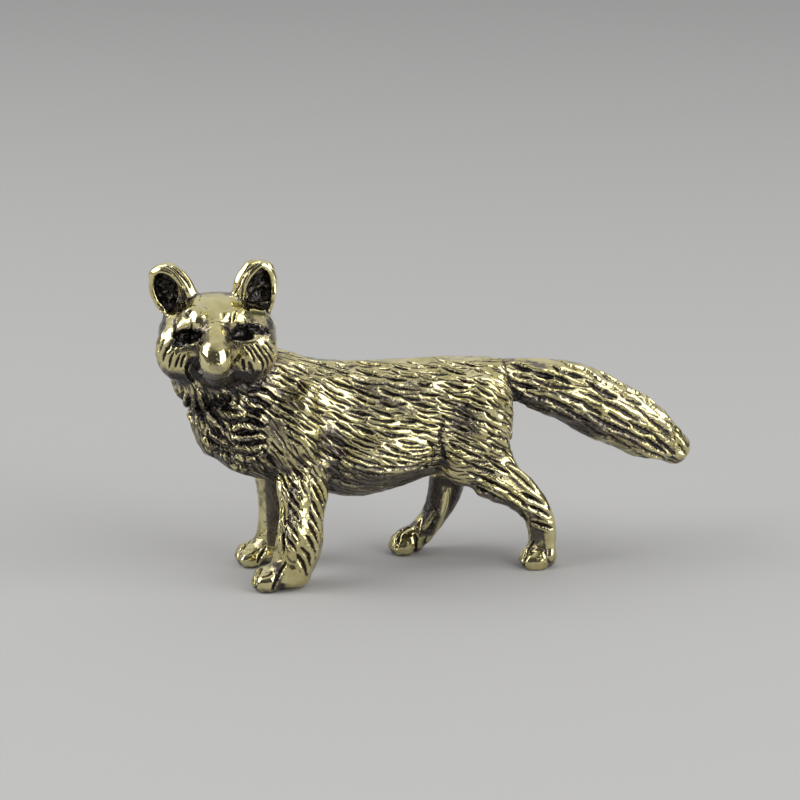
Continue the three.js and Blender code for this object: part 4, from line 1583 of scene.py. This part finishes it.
HINDLEG_MARKS: tuple[Path, ...] = (
    ((463.7, 462), (481.2, 468.7), (493.2, 472.8)),
    ((469.1, 472.8), (490.5, 482.1), (509.3, 491.5)),
    ((508, 468), (520, 477), (533.4, 489.5)),
    ((473.1, 484.8), (490.5, 494.2), (503.9, 500.9)),
    ((523, 493), (534.7, 499.6), (543.5, 504)),
    ((528, 505.5), (538.7, 510.3), (548.8, 516)),
    ((531.5, 521.5), (542.8, 525), (551.5, 528)),
    ((509, 494), (519, 500), (527, 507.5)),
    ((521, 512), (526, 520), (528, 531)),
)
HINDPAW_TOES: tuple[Path, ...] = (((534, 541), (527, 551), (523.5, 566)),)
HINDLEG_RIDGES: tuple[Ridge, ...] = (
    (((506, 464), (529, 484), (544, 508), (551, 534), (548, 572)), 2.4, 0.65),
)
HINDLEG_SHADOWS: tuple[Patch, ...] = (
    (((466, 480), (490, 490), (510, 500), (530, 516), (532, 530), (512, 514), (480, 500)), 0.55),
    (((529, 522), (546, 526), (546, 540), (537, 548), (527, 542)), 0.5),
)
HINDLEG_LIGHTS: tuple[Patch, ...] = (
    (
        (
            (508, 460), (540, 482), (556, 510), (562, 535), (556, 560), (546, 560), (548, 530),
            (538, 505),
        ),
        0.95,
    ),
    (((450, 462), (480, 470), (505, 484), (528, 500), (520, 507), (490, 492), (455, 476)), 0.75),
)
FAR_HINDPAW_TOES: tuple[Path, ...] = (
    ((412, 526), (400, 533), (396, 549)), ((414.2, 533), (417, 543), (415, 553)),
)
FAR_HINDLEG_RIDGES: tuple[Ridge, ...] = (
    (((447, 488), (443, 508), (436, 524), (426, 543)), 1.2, 0.45),
    (((437, 510), (431, 519), (423, 530)), 0.9, 0.36),
)
FAR_HINDLEG_SHADOWS: tuple[Patch, ...] = (
    (((420, 474), (466, 474), (464, 500), (452, 526), (436, 536), (416, 540), (420, 520)), 0.7),
    (((384, 530), (398, 520), (420, 518), (420, 528), (402, 532), (388, 542)), 0.6),
)
FAR_HINDLEG_LIGHTS: tuple[Patch, ...] = (
    (((441, 484), (454, 486), (450, 512), (436, 542), (422, 548), (438, 514)), 0.95),
    (((433, 508), (441, 508), (428, 532), (418, 532)), 0.9),
)


@dataclass
class Head(Casting):
    """Skull, cheeks, brows, muzzle and jaw."""

    region: Region = Region.HEAD
    melt: float = 0.8
    coat: Coat = Coat(Gouge(2.4, 0.6, 0.3, 0.15), 0.85, 2.1, 17)
    face: Path = (
        (170, 300), (262, 296), (274, 330), (262, 342), (232, 345), (226, 330), (208, 330),
        (202, 346), (172, 350),
    )
    snout: Path = (
        (206, 318), (226, 318), (238, 345), (240, 372), (232, 396), (200, 396), (192, 372),
        (194, 345),
    )
    jaw: Path = (
        (186, 372), (203, 377), (216, 380), (230, 376), (248, 370), (250, 396), (215, 402),
        (184, 396),
    )
    left_eye: Path = (
        (207, 333), (203, 326), (196, 327), (188, 333), (183, 334), (179, 329), (176.5, 318),
        (172.5, 318), (171.5, 333), (170, 349), (178, 350), (193, 345), (205, 340),
    )
    right_eye: Path = (
        (229, 330), (234, 325.5), (246, 321.5), (258, 322.5), (271, 327), (274, 335), (262, 336.5),
        (251, 335), (238, 334), (231, 334),
    )
    cheek: Path = ((184, 346), (203, 342), (203, 357), (188, 360))
    brow: Path = (
        (176, 296), (262, 294), (268, 322), (246, 318), (231, 322), (224, 334), (208, 334),
        (203, 323), (188, 328), (178, 324),
    )
    face_melt: tuple[float, int] = (8.0, 40)
    jaw_melt: tuple[float, int] = (6.0, 30)
    snout_melt: tuple[float, int] = (6.0, 4)
    brow_melt: tuple[float, int] = (6.0, 22)
    crown_rise: float = 0.7
    crown_slope: float = 7.0
    crown_rub: Span = (0.9, 5.0)
    eye_depth: float = 0.7
    eye_slope: float = 8.0
    eye_dark: Span = (0.78, 2.5)
    eye_lumps: float = 0.30
    lump_size: float = 0.55
    lump_dark: Span = (0.5, 0.8)
    bald_rub: Span = (0.9, 5.0)
    cheek_rub: Span = (0.7, 4.0)
    nape_facing: Span = (-0.15, 0.2)
    top_facing: Span = (0.55, 0.85)
    nape_lie: tuple[float, float, float] = (0.1, 0.5, -0.85)
    bald: Path = (
        (184, 292), (244, 292), (266, 308), (266, 324), (246, 318), (230, 322), (230, 342),
        (244, 346), (242, 370), (231, 370), (217, 377), (204, 372), (197, 362), (200, 345),
        (209, 330), (203, 322), (188, 328), (182, 322),
    )
    mounds: tuple[Mound, ...] = (
        (186, 319, 1.5, -0.40), (202, 312, 1.7, 0.30), (200, 321, 1.5, 0.32), (231, 312, 1.5, 0.32),
        (230, 321, 1.2, 0.28), (193, 365, 1.2, -0.35),
    )
    bar: tuple[Knot, ...] = (
        Knot(216.0, 328.0, 18.8, 0.85),
        Knot(216.0, 343.0, 20.5, 1.20),
        Knot(215.5, 356.0, 21.7, 1.66),
        Knot(215.5, 361.0, 21.7, 1.72),
        Knot(216.0, 374.0, 19.8, 1.30),
    )
    crown: tuple[Path, ...] = (
        ((176, 300), (186, 288), (200, 290), (202, 306), (186, 318), (176, 314)),
        ((236, 302), (246, 300), (274, 302), (272, 318), (240, 314)),
    )
    stains: tuple[tuple[Path, float, float], ...] = (
        (((162, 369), (188, 372), (194, 396), (178, 402)), 0.9, 5.0),
        (((207, 361), (224, 361), (227, 370), (216, 379), (205, 370)), 0.24, 4.0),
        (((158, 313), (168, 317), (168, 326), (162, 337), (157, 337)), 0.55, 3.0),
        (((263, 316), (275, 318), (276, 333), (268, 331)), 0.5, 3.0),
        (((199, 317), (211, 320), (211.5, 344), (202, 350), (199, 336)), 0.36, 4.0),
        (((221, 321), (233, 318), (236, 346), (227, 350), (222, 338)), 0.34, 4.0),
        (((176, 344), (203, 341), (200, 352), (180, 356)), 0.32, 4.0),
        (((194, 358), (200, 362), (199, 374), (190, 373), (188, 366)), 0.35, 4.0),
        (((256, 333), (277, 327), (279, 342), (263, 347)), 0.32, 4.0),
        (
            (
                (180, 368), (198, 368), (206, 374), (216, 377), (226, 374), (232, 368), (268, 368),
                (250, 392), (215, 400), (188, 394),
            ),
            0.95,
            5.0,
        ),
    )
    grooves: tuple[tuple[Path, float, float], ...] = (
        (((244.6, 345.4), (249.9, 351.1), (253.7, 357.8), (254.4, 363)), 0.42, 0.32),
        (
            ((248.9, 344.9), (254.7, 350.6), (259.4, 357.8), (263.3, 364), (262.8, 371.2)),
            0.50,
            0.38,
        ),
        (
            ((254.7, 343.4), (260.4, 349.7), (266.1, 357.8), (268.1, 363), (267.6, 367.8)),
            0.50,
            0.38,
        ),
        (((261.8, 345.8), (267.1, 351.6), (270.9, 356.4), (273.3, 363)), 0.50, 0.36),
        (((264.7, 341.5), (269.5, 345.8), (272.8, 350.6), (274.8, 354.4)), 0.50, 0.36),
        (((269.5, 329), (273.3, 334.8), (274, 340)), 0.45, 0.30),
        (((242.7, 358.7), (242.9, 364), (243.9, 371.2)), 0.60, 0.34),
        (((248.8, 361.5), (250.4, 367), (252.8, 373.6)), 0.80, 0.36),
        (((163.9, 339.1), (161, 344.9), (158.6, 351.6)), 0.45, 0.34),
        (((174, 339), (166.3, 348.7), (162.9, 354.9), (162.2, 362)), 0.70, 0.45),
        (((173.9, 352), (170.6, 358.3), (168.9, 364), (168.7, 368.3)), 0.50, 0.38),
        (((180.6, 353.4), (177.3, 360.7), (175.1, 367.4)), 0.45, 0.34),
        (((185.4, 353.4), (182.5, 360.2), (180.6, 367.9)), 0.45, 0.34),
        (((194, 357), (189.7, 361.6), (187.3, 366.9), (186.4, 374)), 0.60, 0.36),
        (((186.4, 371.7), (190.7, 378.9), (194.5, 383.6)), 0.60, 0.36),
        (((211, 322.5), (217, 321), (223, 322.5)), 0.42, 0.24),
        (((236.5, 310), (235, 316), (233, 323)), 0.45, 0.34),
    )

    def form(self, skin: Skin) -> None:
        """Presses eye hollows, brows and mouth, and paints shade under the jaw, cheeks and nose and
        around the eyes.

        Args:
            skin: The joined skin.
        """
        head = skin.belongs(self.region)
        skull = skin.belongs(self.region, Region.LEFT_EAR, Region.RIGHT_EAR)
        skin.melt(self.face, *self.face_melt, head)
        skin.melt(self.jaw, *self.jaw_melt, head)
        skin.melt(self.snout, *self.snout_melt, head)
        for outline in self.crown:
            skin.scoop(outline, -self.crown_rise, self.crown_slope, head)
            skin.buff(outline, *self.crown_rub, skull)
        for eye in (self.left_eye, self.right_eye):
            skin.scoop(eye, self.eye_depth, self.eye_slope, head)
            skin.paint(eye, *self.eye_dark, head)
        skin.buff(self.bald, *self.bald_rub, head)
        skin.buff(self.cheek, *self.cheek_rub, head)
        skin.refresh()
        for across, down, reach, height in self.mounds:
            skin.press(across, down, reach, height)
        skin.roughen(self.eye_lumps * ease(skin.stain, *self.lump_dark) * head, self.lump_size)
        # Painted shade under the jaw, cheeks and nose, around the eyes and at the temples.
        for outline, amount, edge in self.stains:
            skin.paint(outline, amount, edge, head)

    def carve(self, skin: Skin) -> None:
        """Cuts the face, and fur on the back of the head.

        Args:
            skin: The joined skin.
        """
        head = skin.belongs(self.region)
        skin.melt(self.brow, *self.brow_melt, head)
        for path, width, depth in self.grooves:
            skin.stroke(path, Nib(width, depth))
        nape = 1.0 - ease(skin.facing @ skin.sight.back, *self.nape_facing)
        top = ease(skin.facing[:, 2], *self.top_facing)
        flow = along_skin(skin, np.array(self.nape_lie))
        count = self.coat.lay(skin, head * nape * (1.0 - top), flow)
        LOG.info("%s: %d gouges", self.region.value, count)


@dataclass
class Ear(Casting):
    """One cupped ear."""

    melt: float = 0.55
    whole: Path = ()
    opening: Path = ()
    rim: Path = ()
    seam: Path = ()
    whole_rub: Span = (0.6, 2.0)
    cup_depth: float = 0.5
    cup_slope: float = 4.0
    cup_dark: Span = (1.0, 2.4)
    cup_lumps: float = 0.45
    lump_size: float = 0.7
    lump_dark: Span = (0.6, 1.0)
    rim_nib: Nib = Nib(0.80, -0.34, blunt=0.15)
    seam_nib: Nib = Nib(0.45, 0.35)

    def form(self, skin: Skin) -> None:
        """Hollows out the cup, and rubs painted glints into it.

        Args:
            skin: The joined skin.
        """
        ear = skin.belongs(self.region)
        where = skin.belongs(self.region, Region.HEAD)
        skin.buff(self.whole, *self.whole_rub, ear)
        skin.paint(self.opening, *self.cup_dark, where)
        skin.scoop(self.opening, self.cup_depth, self.cup_slope, where)
        skin.stroke(self.rim, self.rim_nib)
        skin.roughen(self.cup_lumps * ease(skin.stain, *self.lump_dark) * ear, self.lump_size)
        # Painted glints: small patches inside the dark cup are rubbed bright.
        for outline, amount in self.lights:
            skin.buff(outline, amount, self.light_edge, where)

    def carve(self, skin: Skin) -> None:
        """Cuts the line behind the rim."""
        skin.stroke(self.seam, self.seam_nib)


LEFT_WHOLE: Path = (
    (226, 298), (230, 268), (250, 252), (272, 254), (284, 275), (280, 308), (240, 308),
)
LEFT_OPENING: Path = (
    (262.9, 267.3), (269.4, 272.2), (272.6, 288.4), (272.5, 301.3), (258, 303.5), (247.2, 303),
    (245.6, 288.4), (252, 276),
)
LEFT_RIM: Path = (
    (244, 301), (243.5, 289), (249.5, 276), (259.5, 266), (266, 267), (271.5, 276), (273.5, 290),
    (273, 301),
)
LEFT_SEAM: Path = ((254, 265.5), (245, 275), (239, 285), (234, 294))
LEFT_GLINTS: tuple[Patch, ...] = ((((254, 284), (263, 283), (265, 301), (255, 301)), 0.55),)
RIGHT_WHOLE: Path = (
    (142, 270), (156, 254), (182, 260), (200, 290), (186, 302), (174, 324), (148, 304),
)
RIGHT_OPENING: Path = (
    (154.5, 274.4), (165.8, 271.7), (175.6, 277.6), (179.5, 288.4), (179, 297), (176, 306.7),
    (171.5, 314.5), (165.8, 312.2), (157.2, 303.6), (154, 293.8), (152.3, 285.1),
)
RIGHT_RIM: Path = (
    (169, 316), (159, 306), (154, 294), (152.5, 283), (155, 273.5), (161, 270.5), (170, 273),
    (178, 280), (184, 288),
)
RIGHT_GLINTS: tuple[Patch, ...] = ((((164, 290), (175, 292), (174, 311), (165, 307)), 0.55),)
RIGHT_SEAM: Path = ((172, 266.5), (181, 274), (187, 281), (191, 289))


@dataclass(frozen=True)
class SoftBox:
    """One soft lamp that faces the figurine, in metres and watts."""

    name: str
    place: tuple[float, float, float]
    size: tuple[float, float]
    watts: float
    aim: tuple[float, float, float] = (0.0, 0.0, 0.018)

    def hang(self) -> None:
        """Hangs the lamp."""
        data = bpy.data.lights.new(self.name, "AREA")
        data.shape = "RECTANGLE"
        data.size, data.size_y = self.size
        data.energy = self.watts
        place = Vector(self.place)
        set_up(put(self.name, data), place, Vector(self.aim) - place)


@dataclass
class Studio:
    """Pale floor, soft lamps and camera."""

    sight: Sight
    floor_half: float = 3.0
    bright_side: tuple[float, float, float] = (0.0, 0.45, 0.89)
    bright_span: Span = (0.2, 0.8)
    ceiling: Colour = (0.70, 0.70, 0.71, 1.0)
    dim: Colour = (0.08, 0.08, 0.083, 1.0)
    lamps: tuple[SoftBox, ...] = (
        SoftBox("left_box", (-0.60, 0.03, 0.40), (0.52, 0.68), 4.2),
        SoftBox("right_box", (0.453, -0.394, 0.30), (0.68, 0.64), 4.5),
    )
    paper: PalePaper = field(default_factory=PalePaper)

    def floor(self) -> bpy.types.Object:
        """Lays the floor.

        Returns:
            The floor.
        """
        form = bmesh.new()
        bmesh.ops.create_grid(form, x_segments=1, y_segments=1, size=self.floor_half)
        mesh = bpy.data.meshes.new("floor")
        form.to_mesh(mesh)
        form.free()
        mesh.materials.append(self.paper.material())
        made = put("floor", mesh)
        return made

    def sky(self) -> None:
        """Wires the room's light, which comes from above and behind."""
        world = bpy.data.worlds.new("room")
        bpy.context.scene.world = world
        board = Board(world)
        way = board.node("ShaderNodeTexCoord", output="Generated")
        settings = {"operation": "DOT_PRODUCT"}
        above = board.node("ShaderNodeVectorMath", settings, {0: way, 1: self.bright_side}, "Value")
        colour = board.mix(above.eased(*self.bright_span), self.dim, self.ceiling)
        light = board.node("ShaderNodeBackground", None, {"Color": colour, "Strength": 1.0})
        board.node("ShaderNodeOutputWorld", None, {"Surface": light})

    def build(self) -> None:
        """Sets the whole studio."""
        self.floor()
        self.sky()
        for lamp in self.lamps:
            lamp.hang()
        self.sight.camera()
        bpy.context.scene.view_settings.view_transform = "Standard"


@dataclass(frozen=True)
class PatinaAndShade:
    """Where dark patina stays when the figurine is polished, and where shade is painted in with it:
    an amount and a range for each cause.
    """

    near_rounds: int = 10
    wide_rounds: int = 60
    near: tuple[float, Span] = (0.75, (-0.02, 0.05))
    wide: tuple[float, Span] = (0.4, (0.0, 0.22))
    # Partly patina that polishing can't reach, partly painted shade between and under parts.
    closed: tuple[float, Span] = (0.5, (0.05, 0.35))
    # Painted shade: faces that turn down are darkened.
    under: tuple[float, Span] = (0.4, (-0.1, 0.8))
    ruff: float = 0.08
    tail: float = 0.14
    rub_kept: tuple[float, Span] = (0.9, (0.0, 0.05))
    stain_worn: tuple[float, Span] = (0.6, (0.015, 0.07))

    def settle(self, skin: Skin, closed: np.ndarray) -> np.ndarray:
        """Works out the patina and painted shade of the carved skin.

        Args:
            skin: The carved skin.
            closed: How closed in each point is.

        Returns:
            How much patina and painted shade lies at each point, from 0 to 1.
        """
        near, wide = skin.hollows(self.near_rounds), skin.hollows(self.wide_rounds)
        # The closed and under causes darken by painted shade as well as by patina.
        causes = (
            (near, self.near),
            (wide, self.wide),
            (closed, self.closed),
            (-skin.facing[:, 2], self.under),
        )
        patina = sum(amount * ease(values, *span) for values, (amount, span) in causes)
        patina += self.ruff * skin.belongs(Region.RUFF) + self.tail * skin.belongs(Region.TAIL)
        kept, span = self.rub_kept
        bare_and_lit = skin.bare_and_lit * (1.0 - kept * ease(near, *span))
        worn, span = self.stain_worn
        stain = skin.stain * (1.0 - worn * ease(-near, *span))
        return np.clip(np.maximum(patina * (1.0 - bare_and_lit), stain), 0.0, 1.0)


@dataclass
class Fox:
    """The whole figurine."""

    castings: tuple[Casting, ...] = (
        Torso(),
        Ruff(),
        Head(),
        Ear(
            Region.LEFT_EAR,
            whole=LEFT_WHOLE,
            opening=LEFT_OPENING,
            rim=LEFT_RIM,
            seam=LEFT_SEAM,
            lights=LEFT_GLINTS,
        ),
        Ear(
            Region.RIGHT_EAR,
            whole=RIGHT_WHOLE,
            opening=RIGHT_OPENING,
            rim=RIGHT_RIM,
            seam=RIGHT_SEAM,
            lights=RIGHT_GLINTS,
        ),
        Tail(),
        Leg(
            Region.FRONT_LEFT,
            marks=FORELEG_MARKS,
            toes=FOREPAW_TOES,
            mounds=FORELEG_MOUNDS,
            ridges=FORELEG_RIDGES,
            shadows=FORELEG_SHADOWS,
            lights=FORELEG_LIGHTS,
        ),
        Leg(Region.FRONT_RIGHT, toes=FAR_FOREPAW_TOES, shadows=FAR_FORELEG_SHADOWS),
        Leg(
            Region.HIND_LEFT,
            marks=HINDLEG_MARKS,
            toes=HINDPAW_TOES,
            mounds=HINDLEG_MOUNDS,
            ridges=HINDLEG_RIDGES,
            shadows=HINDLEG_SHADOWS,
            lights=HINDLEG_LIGHTS,
        ),
        Leg(
            Region.HIND_RIGHT,
            toes=FAR_HINDPAW_TOES,
            ridges=FAR_HINDLEG_RIDGES,
            shadows=FAR_HINDLEG_SHADOWS,
            lights=FAR_HINDLEG_LIGHTS,
        ),
    )
    melt_rounds: int = 55
    share_rounds: int = 8
    lump_height: float = 0.05
    lump_size: float = 0.8
    looks: tuple[int, float, int] = (10, 5.0, 4)
    tail_fur: float = 0.4
    leg_fur: float = 0.7
    paw_span: Span = (3.0, 5.0)
    chest_span: Span = (17.0, 22.0)
    fur_rounds: int = 8
    steep_rounds: int = 24

    def sculpt(self, skin: Skin) -> np.ndarray:
        """Melts, forms and carves the skin.

        Args:
            skin: The joined skin.

        Returns:
            How much patina and painted shade lies at each point, from 0 to 1.
        """
        share = sum(casting.soften(skin) for casting in self.castings)
        skin.smooth(skin.blur(share, self.share_rounds), self.melt_rounds)
        skin.refresh()
        LOG.info("melted")
        for casting in self.castings:
            casting.form(skin)
        skin.roughen(self.lump_height * share, self.lump_size)
        skin.settle()
        skin.refresh()
        closed = skin.shade(*self.looks)
        LOG.info("formed")
        for casting in self.castings:
            casting.carve(skin)
        skin.settle()
        return PatinaAndShade().settle(skin, closed)

    def _fur(self, skin: Skin) -> dict[str, np.ndarray]:
        """Tells where the skin is furred, and where that fur lies steeply.

        Args:
            skin: The carved skin.

        Returns:
            Shares from 0 to 1 for each point, by the name of their attribute.
        """
        height = skin.points[:, 2]
        legs = skin.belongs(*LEGS)
        trunk = skin.belongs(Region.TORSO, Region.RUFF) + self.tail_fur * skin.belongs(Region.TAIL)
        fur = trunk + self.leg_fur * legs * ease(height, *self.paw_span)
        steep = legs + skin.belongs(Region.RUFF) * (1.0 - ease(height, *self.chest_span))
        return {"fur": skin.blur(fur, self.fur_rounds), "steep": skin.blur(steep, self.steep_rounds)}

    def build(self, nodes: dict[str, bpy.types.Object], sight: Sight) -> None:
        """Casts, carves, parts and dresses the figurine.

        Args:
            nodes: The frame's nodes by name.
            sight: The line of sight.
        """
        skin = Skin(nodes, sight, [casting.bar for casting in self.castings if casting.bar])
        LOG.info("skin cast with %d points", len(skin.points))
        patina = self.sculpt(skin)
        skin.points[:, 2] = np.maximum(skin.points[:, 2], 0.0)
        skin.mesh.vertices.foreach_set("co", (skin.points * MM).astype(np.float32).ravel())
        store = skin.mesh.attributes.new("skin_normal", "FLOAT_VECTOR", "POINT")
        store.data.foreach_set("vector", skin.normals().astype(np.float32).ravel())
        for name, values in {"patina": patina, **self._fur(skin)}.items():
            store = skin.mesh.attributes.new(name, "FLOAT", "POINT")
            store.data.foreach_set("value", values.astype(np.float32))
        finish = AntiqueBrass().material()
        for casting in self.castings:
            piece = casting.piece(skin, finish)
            LOG.info("%s: %d faces", piece.name, len(piece.data.polygons))


def main() -> None:
    """Builds the figurine and the studio."""
    logging.basicConfig(level=logging.INFO, format="%(relativeCreated)d %(message)s")
    for stray in list(bpy.data.objects):
        bpy.data.objects.remove(stray)
    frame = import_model()
    sight = Sight()
    Fox().build(frame["nodes"], sight)
    Studio(sight).build()


if __name__ == "__main__":
    main()
